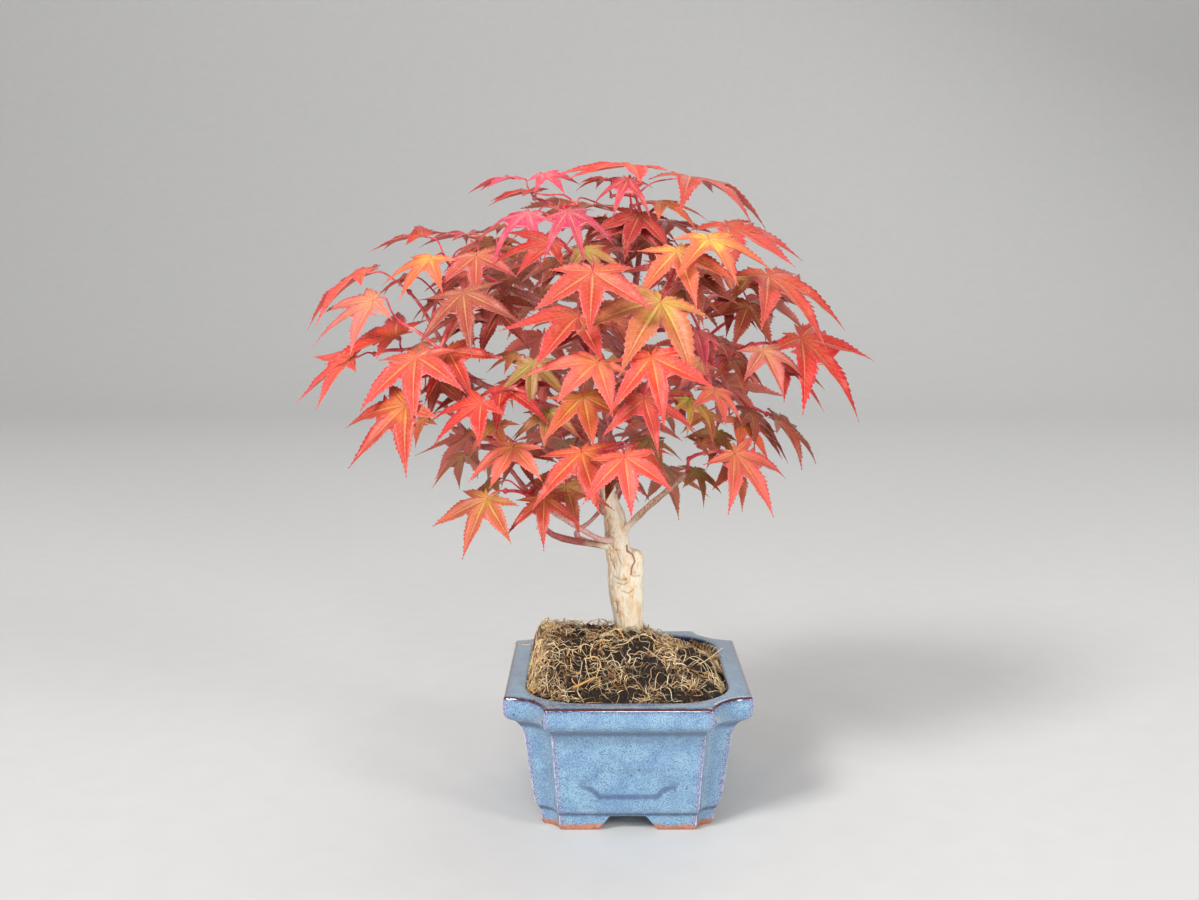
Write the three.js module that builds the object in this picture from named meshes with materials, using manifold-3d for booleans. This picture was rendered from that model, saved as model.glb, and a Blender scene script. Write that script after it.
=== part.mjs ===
// A deshojo maple bonsai: red maple in a blue glazed pot with notched corners, on a mound of root-matted soil.
// Millimetres, +Z up. The origin is under the middle of the whole piece, on the surface that it stands on. The short
// side of the pot faces -Y, where the tree's front is. Everything is built about the pot's middle and moved at the end.
import * as THREE from "three";
import { mergeVertices } from "three/addons/utils/BufferGeometryUtils.js";
import Module from "manifold-3d";

const wasm = await Module();
wasm.setup();

// Driving dimensions of the pot
const POT_HALF_WIDTH = 60;
const POT_EXTRA_HALF_DEPTH = 15;
const POT_HEIGHT = 65.4;
const FLOOR_TOP = 13;
const FOOT_HEIGHT = 7.4;
const CORNER_STEPS = 4;
const DRAIN = { radius: 7, fromMiddle: 28 };
const PANEL = { halfWidth: 23, bottom: 17.8, top: 31.9, depth: 0.6 };

// Pieces that lie against each other keep this much air between them
const CLEARANCE = 0.35;

// Driving dimensions of the soil and of the tree
const SOIL_AT_RIM = 62;
const TRUNK_RADIUS = 9;
const HOLE_RADIUS = 8.9;
const BLADE_HALF_THICKNESS = 0.36;
const STALK_HALF_WIDTH = 0.5;
const KNOT_RADIUS = 2.5;
const KNOT_SEAT = 0.7;
const TWIG_RADIUS = 1.1;
const LONGEST_LOBE = 50;

// The crown is a dome. Its blades lie along it, as slates do.
const SKYWARD = 0.8;
const DOME = { x: -20, y: 0, z: 150, halfWidth: 150, halfDepth: 105, height: 160 };

// The far half of the crown is the near half turned about the dome's axis, a little closer in
const FAR_REACH = 0.88;
const FAR_SIZE = 0.94;

// Where the photograph was taken from: places on the tree are read as its columns and rows, with a depth in mm,
// which is less than nothing in front of the pot's middle
const VIEW = { x: -13.7, y: -749, z: 272.4, pitch: THREE.MathUtils.degToRad(7.26), focal: 1500, column: 600, row: 450 };
const TO_VIEWER = new THREE.Vector3(0, -Math.cos(VIEW.pitch), Math.sin(VIEW.pitch));
const VIEW_UP = new THREE.Vector3(0, Math.sin(VIEW.pitch), Math.cos(VIEW.pitch));
const VIEW_RIGHT = new THREE.Vector3(1, 0, 0);

function distanceInView(point) {
  return -point.clone().sub(new THREE.Vector3(VIEW.x, VIEW.y, VIEW.z)).dot(TO_VIEWER);
}

function at(column, row, depth) {
  const ray = VIEW_RIGHT.clone().multiplyScalar((column - VIEW.column) / VIEW.focal)
    .addScaledVector(VIEW_UP, (VIEW.row - row) / VIEW.focal)
    .sub(TO_VIEWER);
  return new THREE.Vector3(VIEW.x, VIEW.y, VIEW.z).addScaledVector(ray, (depth - VIEW.y) / ray.y);
}

function turnedPlace(place) {
  return new THREE.Vector3(
    DOME.x - FAR_REACH * (place.x - DOME.x), DOME.y - FAR_REACH * (place.y - DOME.y), place.z);
}

function turnedDirection(direction) {
  return new THREE.Vector3(-direction.x, -direction.y, direction.z);
}

function smooth(share) {
  const held = Math.min(Math.max(share, 0), 1);
  return held * held * (3 - 2 * held);
}

// Solids for joining and cutting, and back to a geometry
function solid(geometry) {
  const bare = geometry.clone();
  bare.deleteAttribute("normal");
  bare.deleteAttribute("uv");
  const merged = mergeVertices(bare, 1e-4);
  return new wasm.Manifold(new wasm.Mesh({
    numProp: 3,
    vertProperties: merged.attributes.position.array,
    triVerts: Uint32Array.from(merged.index.array),
  }));
}

function geometryOf(body) {
  const mesh = body.getMesh();
  const geometry = new THREE.BufferGeometry();
  geometry.setAttribute("position", new THREE.BufferAttribute(mesh.vertProperties, 3));
  geometry.setIndex(new THREE.BufferAttribute(mesh.triVerts, 1));
  geometry.computeVertexNormals();
  return geometry;
}

function fused(bodies) {
  return bodies.reduce((whole, body) => whole.add(body));
}

// A closed skin through loops of equal count, from the lowest outer one round to the last, with both ends capped
function loft(loops) {
  const count = loops[0].length;
  const positions = loops.flat().flatMap((point) => [point.x, point.y, point.z]);
  const index = [];
  for (let level = 0; level + 1 < loops.length; level++) {
    for (let step = 0; step < count; step++) {
      const next = (step + 1) % count;
      const [low, lowNext] = [level * count + step, level * count + next];
      index.push(low, lowNext, low + count, lowNext, lowNext + count, low + count);
    }
  }
  const flat = (loop) => loop.map((point) => new THREE.Vector2(point.x, point.y));
  const last = (loops.length - 1) * count;
  for (const [a, b, c] of THREE.ShapeUtils.triangulateShape(flat(loops[0]), [])) index.push(a, c, b);
  for (const [a, b, c] of THREE.ShapeUtils.triangulateShape(flat(loops.at(-1)), [])) {
    index.push(last + a, last + b, last + c);
  }
  const geometry = new THREE.BufferGeometry();
  geometry.setAttribute("position", new THREE.Float32BufferAttribute(positions, 3));
  geometry.setIndex(index);
  return geometry;
}

// One corner after the other, anticlockwise: a hollow quarter round for the outside, a full one for the mouth
function cornerLoop(halfWidth, height, corner) {
  const halfDepth = halfWidth + POT_EXTRA_HALF_DEPTH;
  const loop = [];
  for (let quarter = 0; quarter < 4; quarter++) {
    const sideX = quarter === 0 || quarter === 3 ? 1 : -1;
    const sideY = quarter < 2 ? 1 : -1;
    for (let step = 0; step <= CORNER_STEPS; step++) {
      const share = step / CORNER_STEPS;
      const [along, out] = corner(sideX === sideY ? share : 1 - share);
      loop.push(new THREE.Vector3(sideX * (halfWidth - along), sideY * (halfDepth - out), height));
    }
  }
  return loop;
}

function notchedLoop(halfWidth, height, notch) {
  return cornerLoop(halfWidth, height, (share) => {
    const angle = share * Math.PI / 2;
    return [notch * Math.sin(angle), notch * Math.cos(angle)];
  });
}

function roundedLoop(halfWidth, height, radius) {
  return cornerLoop(halfWidth, height, (share) => {
    const angle = share * Math.PI / 2;
    return [radius * (1 - Math.cos(angle)), radius * (1 - Math.sin(angle))];
  });
}

// Sections of the pot: height, half width, and the size of the corner notch or of the mouth's rounding
const OUTSIDE = [
  { height: 0, half: 40.8, notch: 8.2 },
  { height: 1.2, half: 41.6, notch: 8.6 },
  { height: 7.8, half: 42.8, notch: 9.6 },
  { height: 10.6, half: 44.9, notch: 10.8 },
  { height: 16, half: 46.1, notch: 11.8 },
  { height: 45.6, half: 50.2, notch: 13.8 },
  { height: 49.8, half: 51.6, notch: 15 },
  { height: 52.6, half: 54.2, notch: 16.5 },
  { height: 54.2, half: 58, notch: 18.8 },
  { height: 56.2, half: 59.8, notch: 19.9 },
  { height: 59.8, half: POT_HALF_WIDTH, notch: 20 },
  { height: POT_HEIGHT - 1, half: 59.7, notch: 20 },
  { height: POT_HEIGHT, half: 58.8, notch: 19.6 },
];
const INSIDE = [
  { height: POT_HEIGHT, half: 49.4, round: 28 },
  { height: POT_HEIGHT - 1, half: 48.5, round: 28 },
  { height: POT_HEIGHT - 6, half: 47.2, round: 28 },
  { height: POT_HEIGHT - 15, half: 45.4, round: 26 },
  { height: FLOOR_TOP, half: 40, round: 20 },
];

function prism(outline, length) {
  return new THREE.ExtrudeGeometry(new THREE.Shape(outline), { depth: length, bevelEnabled: false, curveSegments: 4 });
}

function trapezoid(halfBottom, halfTop, bottom, top) {
  return [
    new THREE.Vector2(-halfBottom, bottom), new THREE.Vector2(halfBottom, bottom),
    new THREE.Vector2(halfTop, top), new THREE.Vector2(-halfTop, top),
  ];
}

// The cut that leaves a foot at each corner: an arch through each pair of sides and a recess between them
function feetCut() {
  const below = -1;
  const through = 400;
  const endArch = prism(trapezoid(15.4, 8.6, below, FOOT_HEIGHT), through);
  endArch.translate(0, 0, -through / 2).rotateX(Math.PI / 2);
  const sideArch = prism(trapezoid(22.3, 15, below, FOOT_HEIGHT), through);
  sideArch.translate(0, 0, -through / 2).rotateX(Math.PI / 2).rotateZ(Math.PI / 2);
  const recess = prism(trapezoid(30, 30, -45, 45), FOOT_HEIGHT - below).translate(0, 0, below);
  return fused([endArch, sideArch, recess].map(solid));
}

// The panel sunk in each wall: a window with drawn-in ends
function panelOutline(halfWidth) {
  const middle = (PANEL.bottom + PANEL.top) / 2;
  const rise = (PANEL.top - PANEL.bottom) / 2;
  const corners = [[-1, -0.12], [-0.86, -0.3], [-0.72, -0.55], [-0.6, -1]];
  const lower = [...corners, ...corners.map(([across, up]) => [-across, up]).reverse()];
  const upper = lower.map(([across, up]) => [-across, -up]);
  return [...lower, ...upper].map(([across, up]) => new THREE.Vector2(across * halfWidth, middle + up * rise));
}

function wallAt(height) {
  const upper = OUTSIDE.findIndex((section) => section.height >= height);
  const [a, b] = [OUTSIDE[upper - 1], OUTSIDE[upper]];
  return THREE.MathUtils.mapLinear(height, a.height, b.height, a.half, b.half);
}

function panelCuts() {
  const lean = Math.atan2(wallAt(PANEL.top) - wallAt(PANEL.bottom), PANEL.top - PANEL.bottom);
  const middle = (PANEL.bottom + PANEL.top) / 2;
  const thickness = 6;
  return [0, 1, 2, 3].map((side) => {
    const onEnd = side % 2 === 0;
    const cut = prism(panelOutline(onEnd ? PANEL.halfWidth : PANEL.halfWidth + POT_EXTRA_HALF_DEPTH), thickness);
    cut.translate(0, -middle, -PANEL.depth).rotateX(Math.PI / 2 + lean);
    cut.translate(0, -wallAt(middle) - (onEnd ? POT_EXTRA_HALF_DEPTH : 0), middle).rotateZ(side * Math.PI / 2);
    return solid(cut);
  });
}

function potBody() {
  const outside = OUTSIDE.map((section) => notchedLoop(section.half, section.height, section.notch));
  const inside = INSIDE.map((section) => roundedLoop(section.half, section.height, section.round));
  let body = solid(loft([...outside, ...inside])).subtract(feetCut());
  for (const side of [-1, 1]) {
    const drain = new THREE.CylinderGeometry(DRAIN.radius, DRAIN.radius, 2 * FLOOR_TOP, 16);
    drain.rotateX(Math.PI / 2).translate(0, side * DRAIN.fromMiddle, FLOOR_TOP);
    body = body.subtract(solid(drain));
  }
  return panelCuts().reduce((whole, cut) => whole.subtract(cut), body);
}

// A square of plastic mesh over each drain hole
const MESH = { half: 12, thickness: 1, hole: 8.4, offset: 5.3 };

function meshSquare(side) {
  let sheet = solid(prism(trapezoid(MESH.half, MESH.half, -MESH.half, MESH.half), MESH.thickness));
  for (const column of [-1, 1]) {
    for (const row of [-1, 1]) {
      const gap = prism(trapezoid(MESH.hole / 2, MESH.hole / 2, -MESH.hole / 2, MESH.hole / 2), 3 * MESH.thickness);
      sheet = sheet.subtract(solid(gap.translate(column * MESH.offset, row * MESH.offset, -MESH.thickness)));
    }
  }
  return sheet.translate([0, side * DRAIN.fromMiddle, FLOOR_TOP + CLEARANCE]);
}

// The mound fills the pot's mouth. It is lower to the right, and falls away behind the trunk, most of all in the
// corner behind and to the right.
const MOUND = {
  height: 20, lowerRight: 8, leftSlope: 6, rightSlope: 12, beyondWall: 1, frontSlope: 50, backSlope: 60, backHold: 7,
  hollow: { depth: 10, fromX: 2, overX: 34, fromY: -15, overY: 40 },
};

function soilTop(x, y) {
  const side = INSIDE[1].half + MOUND.beyondWall;
  const end = INSIDE[1].half + POT_EXTRA_HALF_DEPTH;
  const rise = smooth((x + side) / MOUND.leftSlope) * smooth((side - x) / MOUND.rightSlope)
    * smooth((y + end) / MOUND.frontSlope) * smooth((end + MOUND.backHold - y) / MOUND.backSlope);
  const { depth, fromX, overX, fromY, overY } = MOUND.hollow;
  const hollow = depth * smooth((x - fromX) / overX) * smooth((y - fromY) / overY);
  const lumps = 0.7 * Math.sin(x * 0.31 + 1.3) * Math.cos(y * 0.27) + 0.5 * Math.sin(x * 0.13 - y * 0.19);
  return SOIL_AT_RIM + (MOUND.height - MOUND.lowerRight * smooth(x / side)) * rise - hollow + lumps;
}

const SOIL_RINGS = [0.92, 0.8, 0.62, 0.42, 0.2];

// Splits each straight side of a loop, so that the mound can bend there
function splitSides(loop, parts) {
  const count = loop.length;
  return loop.flatMap((point, step) => {
    const next = loop[(step + 1) % count];
    const pieces = step % (CORNER_STEPS + 1) === CORNER_STEPS ? parts : 1;
    return Array.from({ length: pieces }, (_, piece) => point.clone().lerp(next, piece / pieces));
  });
}

function soilBody(trunkFoot) {
  const fitted = (section) => roundedLoop(section.half - CLEARANCE, section.height, section.round);
  const wall = [INSIDE[4], INSIDE[3]].map((section) => splitSides(fitted(section), 4));
  for (const point of wall[0]) point.z += CLEARANCE;
  const edge = splitSides(fitted(INSIDE[2]), 4);
  for (const point of edge) point.z = Math.max(soilTop(point.x, point.y) - 2.5, INSIDE[2].height);
  const rings = SOIL_RINGS.map((share) => edge.map((point) => {
    const [x, y] = [point.x * share, point.y * share];
    return new THREE.Vector3(x, y, soilTop(x, y));
  }));
  let body = solid(loft([...wall, edge, ...rings]));
  for (const side of [-1, 1]) {
    const half = MESH.half + CLEARANCE;
    const pocket = prism(trapezoid(half, half, -half, half), MESH.thickness + 3 * CLEARANCE);
    body = body.subtract(solid(pocket.translate(0, side * DRAIN.fromMiddle, FLOOR_TOP)));
  }
  const hole = new THREE.CylinderGeometry(HOLE_RADIUS, HOLE_RADIUS, 60, 18).rotateX(Math.PI / 2);
  hole.translate(trunkFoot.x, trunkFoot.y, trunkFoot.z - CLEARANCE + 30);
  return body.subtract(solid(hole));
}

// A tapering stem through hand-set stations, each a place and a radius
function stem(stations, sides) {
  const steps = stations.length - 1;
  const tube = new THREE.CylinderGeometry(1, 1, 1, sides, steps);
  const place = tube.attributes.position;
  const frames = [];
  let across = new THREE.Vector3(0.31, 0.87, 0.38);
  stations.forEach((station, step) => {
    const before = stations[Math.max(step - 1, 0)].at;
    const along = stations[Math.min(step + 1, steps)].at.clone().sub(before).normalize();
    across = across.clone().addScaledVector(along, -across.dot(along)).normalize();
    frames.push({ across, aside: across.clone().cross(along) });
  });
  for (let vertex = 0; vertex < place.count; vertex++) {
    const step = Math.round((place.getY(vertex) + 0.5) * steps);
    const { at: middle, radius } = stations[step];
    const moved = middle.clone()
      .addScaledVector(frames[step].across, place.getX(vertex) * radius)
      .addScaledVector(frames[step].aside, place.getZ(vertex) * radius);
    place.setXYZ(vertex, moved.x, moved.y, moved.z);
  }
  return solid(tube);
}

// The wood as the photograph shows it: column, row, depth and radius
const TRUNK = [
  [630, 690, 12, 7.8], [630, 640, 12, 7.6], [629, 622, 12, 7.8], [627.5, 605, 12, 8.6], [626, 586, 12, TRUNK_RADIUS],
  [624, 566, 12, 8.4], [618, 548, 11, 6.6], [615.5, 520, 10, 5.9], [610, 500, 9, 4.6], [605, 480, 8, 3.7],
];
const STUB = [[629, 600, 11, 6], [632, 575, 10, 5.8], [635, 557, 9.5, 4.9], [635.5, 550, 9, 3.2]];

// Each spray of leaves: the branch that carries it, as the trunk is given, the nodes of its twigs, and its leaves.
// The branch's first place is on the trunk or on another branch. far is true where the far half repeats the spray.
function leaf(column, row, depth, heading, reach, show, droop = 0.14) {
  return { column, row, depth, heading, reach, show, droop };
}

const SPRAYS = {
  left_high: {
    branch: [[608, 430, 8, 2.2], [560, 410, 4, 2], [510, 395, 0, 1.8], [475, 380, -3, 1.6], [457, 362, -5, 1.4],
      [440, 338, -8, 1.2]],
    nodes: [[432, 324, -8], [410, 292, -6], [438, 296, -9], [452, 268, -4]],
    leaves: [
      leaf(423, 236, 10, 175, 50, 0.14), leaf(365, 275, -5, 203, 81, 0.26), leaf(409, 277, -17, 185, 34, 0.35),
      leaf(431, 259, -25, 230, 50, 0.6), leaf(468, 235, 15, 175, 45, 0.16), leaf(477, 256, -27, 275, 45, 0.55),
    ],
  },
  left_low: {
    branch: [[457, 362, -5, 1.4], [440, 354, -12, 1.2]],
    nodes: [[430, 350, -14], [402, 350, -12], [375, 354, -13]],
    leaves: [
      leaf(397, 336, -13, 175, 69, 0.22), leaf(352, 359, -15, 211, 74, 0.42), leaf(412, 390, -10, 200, 34, 0.35),
    ],
  },
  left_front: {
    far: true,
    branch: [[475, 380, -3, 1.5], [455, 382, -22, 1.3], [438, 378, -38, 1.1]],
    nodes: [[432, 375, -42], [416, 380, -48], [440, 350, -42], [400, 322, -36], [456, 318, -42]],
    leaves: [
      leaf(417, 357, -50, 265, 64, 0.7), leaf(449, 351, -42, 300, 53, 0.5), leaf(407, 405, -63, 224, 86, 0.75),
      leaf(374, 301, -35, 211, 77, 0.6), leaf(464, 293, -45, 278, 60, 0.75),
    ],
  },
  left_under: {
    branch: [[606, 512, 8, 2.4], [592, 490, 2, 2.1], [580, 470, -4, 1.9], [545, 450, -10, 1.7], [500, 447, -16, 1.5],
      [480, 446, -20, 1.4], [462, 427, -26, 1.2]],
    nodes: [[455, 417, -28], [446, 406, -30], [430, 400, -32]],
    leaves: [leaf(425, 420, -14, 225, 45, 0.5), leaf(470, 395, -40, 170, 38, 0.4)],
  },
  left_inner: {
    branch: [[625, 360, 3, 1.9], [585, 320, -3, 1.7], [540, 300, -8, 1.5], [506, 287, -11, 1.3]],
    nodes: [[498, 283, -12], [480, 275, -12], [482, 300, -14]],
    leaves: [
      leaf(512, 280, -13, 200, 35, 0.5), leaf(500, 312, -14, 250, 50, 0.7), leaf(463, 318, -18, 235, 45, 0.6),
      leaf(468, 275, -14, 215, 45, 0.45),
    ],
  },
  top_left: {
    branch: [[637, 275, 3, 1.6], [600, 235, 0, 1.4], [568, 214, -3, 1.1]],
    nodes: [[560, 210, -4], [535, 198, 2], [577, 204, -12]],
    leaves: [
      leaf(513, 178, 13, 190, 48, 0.22), leaf(533, 192, -13, 178, 45, 0.25), leaf(545, 175, -4, 320, 30, 0.4),
      leaf(597, 206, 14, 183, 94, 0.2), leaf(505, 226, -20, 200, 30, 0.35),
    ],
  },
  top_front: {
    far: true,
    branch: [[634, 300, 2, 1.6], [603, 275, -22, 1.4], [582, 260, -38, 1.1]],
    nodes: [[575, 255, -42], [548, 236, -50], [563, 228, -46]],
    leaves: [
      leaf(529, 213, -33, 216, 65, 0.5, 0.5), leaf(568, 212, -73, 300, 56, 0.6, 0.55),
      leaf(553, 244, -68, 189, 70, 0.6), leaf(570, 270, -38, 205, 45, 0.5),
    ],
  },
  top: {
    branch: [[606, 484, 8, 3.7], [604, 455, 8, 3.4], [607, 430, 7, 3.2], [622, 385, 4, 2.6], [634, 300, 2, 1.8],
      [643, 229, 5, 1.2]],
    nodes: [[643, 221, 5], [636, 196, 4], [664, 203, -8], [612, 196, 4], [632, 206, -16]],
    leaves: [
      leaf(633, 166, -10, 194, 73, 0.34), leaf(628, 180, -25, 249, 45, 0.5, 0.45), leaf(607, 180, 5, 185, 32, 0.3),
      leaf(661, 203, -15, 331, 45, 0.4), leaf(690, 177, 10, 338, 91, 0.3, 0.3), leaf(640, 215, -14, 250, 45, 0.6),
      leaf(618, 246, -15, 182, 60, 0.4),
    ],
  },
  right_high: {
    branch: [[630, 335, 2, 1.8], [670, 320, -8, 1.6], [705, 300, -16, 1.4], [733, 291, -19, 1.2]],
    nodes: [[741, 287, -20], [730, 256, -14], [756, 282, -24], [715, 280, -6]],
    leaves: [
      leaf(728, 226, -10, 325, 80, 0.45), leaf(769, 276, -30, 315, 91, 0.5), leaf(748, 280, -18, 300, 40, 0.6),
      leaf(720, 272, -3, 305, 34, 0.5), leaf(748, 306, -15, 250, 45, 0.5),
    ],
  },
  right_front: {
    far: true,
    branch: [[632, 320, 2, 1.6], [662, 294, -22, 1.4], [682, 280, -36, 1.1]],
    nodes: [[688, 275, -40], [697, 255, -48], [678, 264, -52], [668, 288, -62]],
    leaves: [
      leaf(709, 239, -55, 300, 60, 0.6), leaf(677, 251, -60, 290, 62, 0.75), leaf(661, 302, -78, 240, 76, 0.7),
      leaf(690, 275, -42, 280, 50, 0.6),
    ],
  },
  front_high: {
    far: true,
    branch: [[626, 350, 2, 1.7], [612, 338, -25, 1.5], [602, 331, -46, 1.2]],
    nodes: [[600, 330, -51], [597, 302, -70], [592, 348, -68], [590, 372, -68]],
    leaves: [
      leaf(593, 272, -90, 270, 70, 0.8), leaf(579, 317, -63, 226, 67, 0.6), leaf(598, 363, -82, 220, 61, 0.6),
      leaf(584, 397, -75, 285, 55, 0.7),
    ],
  },
  right: {
    branch: [[612, 418, 6, 2.2], [640, 415, -6, 1.9], [672, 400, -16, 1.7], [704, 376, -24, 1.3]],
    nodes: [[711, 369, -26], [744, 348, -26], [775, 343, -22], [716, 348, -46]],
    leaves: [
      leaf(801, 338, -20, 318, 100, 0.65), leaf(763, 351, -45, 300, 50, 0.7), leaf(778, 361, -25, 320, 68, 0.4),
      leaf(697, 333, -70, 215, 42, 0.6),
    ],
  },
  right_low: {
    branch: [[704, 376, -24, 1.4], [722, 387, -20, 1.2]],
    nodes: [[729, 391, -18], [748, 407, -8], [767, 414, -6], [728, 408, -24]],
    leaves: [
      leaf(738, 420, -16, 311, 52, 0.5), leaf(776, 420, -10, 325, 65, 0.32), leaf(758, 427, 0, 325, 50, 0.32),
      leaf(718, 432, -17, 250, 35, 0.5), leaf(715, 391, -60, 284, 34, 0.5),
    ],
  },
  low_right: {
    far: true,
    branch: [[620, 546, 8, 2.8], [626, 530, 2, 2.5], [645, 510, -8, 2.2], [665, 493, -16, 2], [682, 478, -22, 1.6]],
    nodes: [[688, 471, -25], [689, 459, -26], [705, 453, -32], [722, 452, -36]],
    leaves: [leaf(735, 454, -40, 310, 74, 0.75), leaf(733, 462, -15, 290, 48, 0.6)],
  },
  front: {
    far: true,
    branch: [[612, 420, 6, 1.9], [628, 408, -28, 1.6], [638, 401, -50, 1.2]],
    nodes: [[640, 399, -56], [652, 378, -74], [642, 406, -74], [668, 396, -54]],
    leaves: [
      leaf(652, 357, -95, 285, 69, 0.85), leaf(645, 399, -78, 281, 53, 0.75), leaf(690, 400, -60, 275, 38, 0.55, 0.5),
    ],
  },
  front_left: {
    far: true,
    branch: [[607, 428, 6, 1.8], [568, 396, -22, 1.5], [540, 378, -38, 1.2]],
    nodes: [[532, 374, -42], [514, 388, -50], [494, 394, -60], [540, 402, -50]],
    leaves: [
      leaf(503, 387, -44, 331, 53, 0.5), leaf(482, 403, -75, 215, 63, 0.6), leaf(534, 363, -44, 268, 50, 0.85),
      leaf(549, 412, -45, 265, 38, 0.7),
    ],
  },
  low_left: {
    far: true,
    branch: [[613, 541, 5, 2.1], [600, 539, -4, 1.8], [583, 530, -14, 1.6], [562, 518, -26, 1.4], [549, 510, -33, 1.2]],
    nodes: [[543, 505, -36], [527, 494, -38], [506, 491, -44], [536, 487, -32]],
    leaves: [
      leaf(488, 499, -50, 240, 63, 0.75), leaf(497, 483, -32, 205, 40, 0.45), leaf(545, 499, -49, 270, 43, 0.7),
    ],
  },
  left_middle: {
    far: true,
    branch: [[500, 447, -16, 1.4], [506, 440, -34, 1.1]],
    nodes: [[507, 438, -39], [512, 442, -50]],
    leaves: [leaf(514, 447, -60, 245, 48, 0.7), leaf(495, 425, -35, 235, 44, 0.55)],
  },
  low_front: {
    far: true,
    branch: [[605, 480, 8, 1.8], [601, 466, -20, 1.5], [599, 457, -38, 1.2]],
    nodes: [[598, 454, -43], [586, 455, -52], [612, 452, -66], [632, 446, -48], [574, 474, -36]],
    leaves: [
      leaf(582, 452, -60, 285, 62, 0.75), leaf(567, 487, -35, 290, 45, 0.55), leaf(625, 457, -80, 280, 57, 0.85),
      leaf(635, 448, -29, 324, 45, 0.65),
    ],
  },
};

// A leaf's place, the direction of its middle lobe, its upper side and its length, from how the photograph shows it:
// show is the share of its face that is seen, and the blade leans over the dome
function leafFrame({ column, row, depth, heading, reach, show }) {
  const base = at(column, row, depth);
  const outward = new THREE.Vector3(
    (base.x - DOME.x) / DOME.halfWidth ** 2, (base.y - DOME.y) / DOME.halfDepth ** 2,
    (base.z - DOME.z) / DOME.height ** 2).normalize();
  outward.z += SKYWARD;
  const sideways = outward.clone().addScaledVector(TO_VIEWER, -outward.dot(TO_VIEWER)).normalize();
  const normal = TO_VIEWER.clone().multiplyScalar(show).addScaledVector(sideways, Math.sqrt(1 - show * show));
  const angle = THREE.MathUtils.degToRad(heading);
  const seen = VIEW_RIGHT.clone().multiplyScalar(Math.cos(angle)).addScaledVector(VIEW_UP, Math.sin(angle));
  const lean = THREE.MathUtils.clamp(-seen.dot(normal) / TO_VIEWER.dot(normal), -0.7, 0.9);
  const along = seen.addScaledVector(TO_VIEWER, lean).normalize();
  normal.addScaledVector(along, -normal.dot(along)).normalize();
  const length = reach * distanceInView(base) / VIEW.focal * Math.hypot(1, lean);
  return { base, along, normal, length: Math.min(length, LONGEST_LOBE) };
}

// Half the outline of a leaf from the tip of its middle lobe to the tip of its outer one: angle, reach, and how far
// the edge stands above the lobe's middle
const HALF_OUTLINE = [
  { turn: 17, reach: 0.43, lift: 0.04 }, { turn: 24, reach: 0.25, lift: 0 }, { turn: 32, reach: 0.41, lift: 0.04 },
  { turn: 48, reach: 0.94, lift: 0 }, { turn: 72, reach: 0.21, lift: 0.02 }, { turn: 98, reach: 0.52, lift: 0 },
];
const OUTLINE = [
  { turn: 0, reach: 1, lift: 0 },
  ...HALF_OUTLINE,
  ...HALF_OUTLINE.map((point) => ({ ...point, turn: -point.turn })).reverse(),
];

// The outline's points by number are the middle tip 0, then one side's shoulder 1, sinus 2, shoulder 3, tip 4,
// sinus 5 and outer tip 6, and the other side's the same back from 12 to 7. The stalk's four corners follow: 13 and
// 16 where it meets the blade, 14 and 15 at its foot.
const FACE = [
  [0, 1, 12], [1, 11, 12], [1, 2, 11],
  [2, 3, 5], [3, 4, 5], [8, 9, 10], [8, 10, 11],
  [2, 5, 11], [5, 8, 11], [5, 13, 8], [13, 16, 8],
  [5, 6, 13], [8, 16, 7],
  [13, 14, 15], [13, 15, 16],
];
const RING = [0, 1, 2, 3, 4, 5, 6, 13, 14, 15, 16, 7, 8, 9, 10, 11, 12];

// A blade with its stalk is one thin plate, split into triangles alike on both faces
function leafBody({ base, along, normal, length }, droop, foot) {
  const aside = normal.clone().cross(along);
  const half = BLADE_HALF_THICKNESS * (1 + droop);
  const plate = OUTLINE.map(({ turn, reach, lift }) => {
    const angle = THREE.MathUtils.degToRad(turn);
    const spread = reach * (1 - 0.25 * droop * reach) * length;
    const middle = base.clone()
      .addScaledVector(along, spread * Math.cos(angle))
      .addScaledVector(aside, spread * Math.sin(angle))
      .addScaledVector(normal, (lift - droop * reach * reach) * length);
    return { middle, thick: normal.clone().multiplyScalar(half) };
  });
  const stalk = foot.clone().sub(base).normalize();
  const wide = aside.clone().addScaledVector(stalk, -aside.dot(stalk));
  if (wide.length() < 0.4) wide.addScaledVector(along, 1).addScaledVector(stalk, -along.dot(stalk));
  wide.normalize().multiplyScalar(STALK_HALF_WIDTH);
  const deep = wide.clone().cross(stalk).normalize().multiplyScalar(STALK_HALF_WIDTH);
  const edge = aside.clone().multiplyScalar(STALK_HALF_WIDTH);
  plate.push({ middle: base.clone().add(edge), thick: plate[0].thick });
  plate.push({ middle: foot.clone().add(wide), thick: deep });
  plate.push({ middle: foot.clone().sub(wide), thick: deep });
  plate.push({ middle: base.clone().sub(edge), thick: plate[0].thick });
  const count = plate.length;
  const points = [1, -1].flatMap((side) => plate.map(({ middle, thick }) =>
    middle.clone().addScaledVector(thick, side)));
  const index = FACE.flatMap(([a, b, c]) => [a, b, c, count + a, count + c, count + b]);
  RING.forEach((corner, step) => {
    const next = RING[(step + 1) % RING.length];
    index.push(corner, count + corner, count + next, corner, count + next, next);
  });
  const geometry = new THREE.BufferGeometry().setFromPoints(points);
  geometry.setIndex(index);
  return solid(geometry);
}

function knot(place) {
  return solid(new THREE.OctahedronGeometry(KNOT_RADIUS).translate(place.x, place.y, place.z));
}

// Where something that comes to a knot ends, this far from the knot's middle
function seat(place, from, distance = KNOT_SEAT) {
  return place.clone().addScaledVector(from.clone().sub(place).normalize(), distance);
}

function nearest(place, places, cost = (other) => other.distanceTo(place)) {
  return places.reduce((best, other) => cost(other) < cost(best) ? other : best);
}

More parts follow.
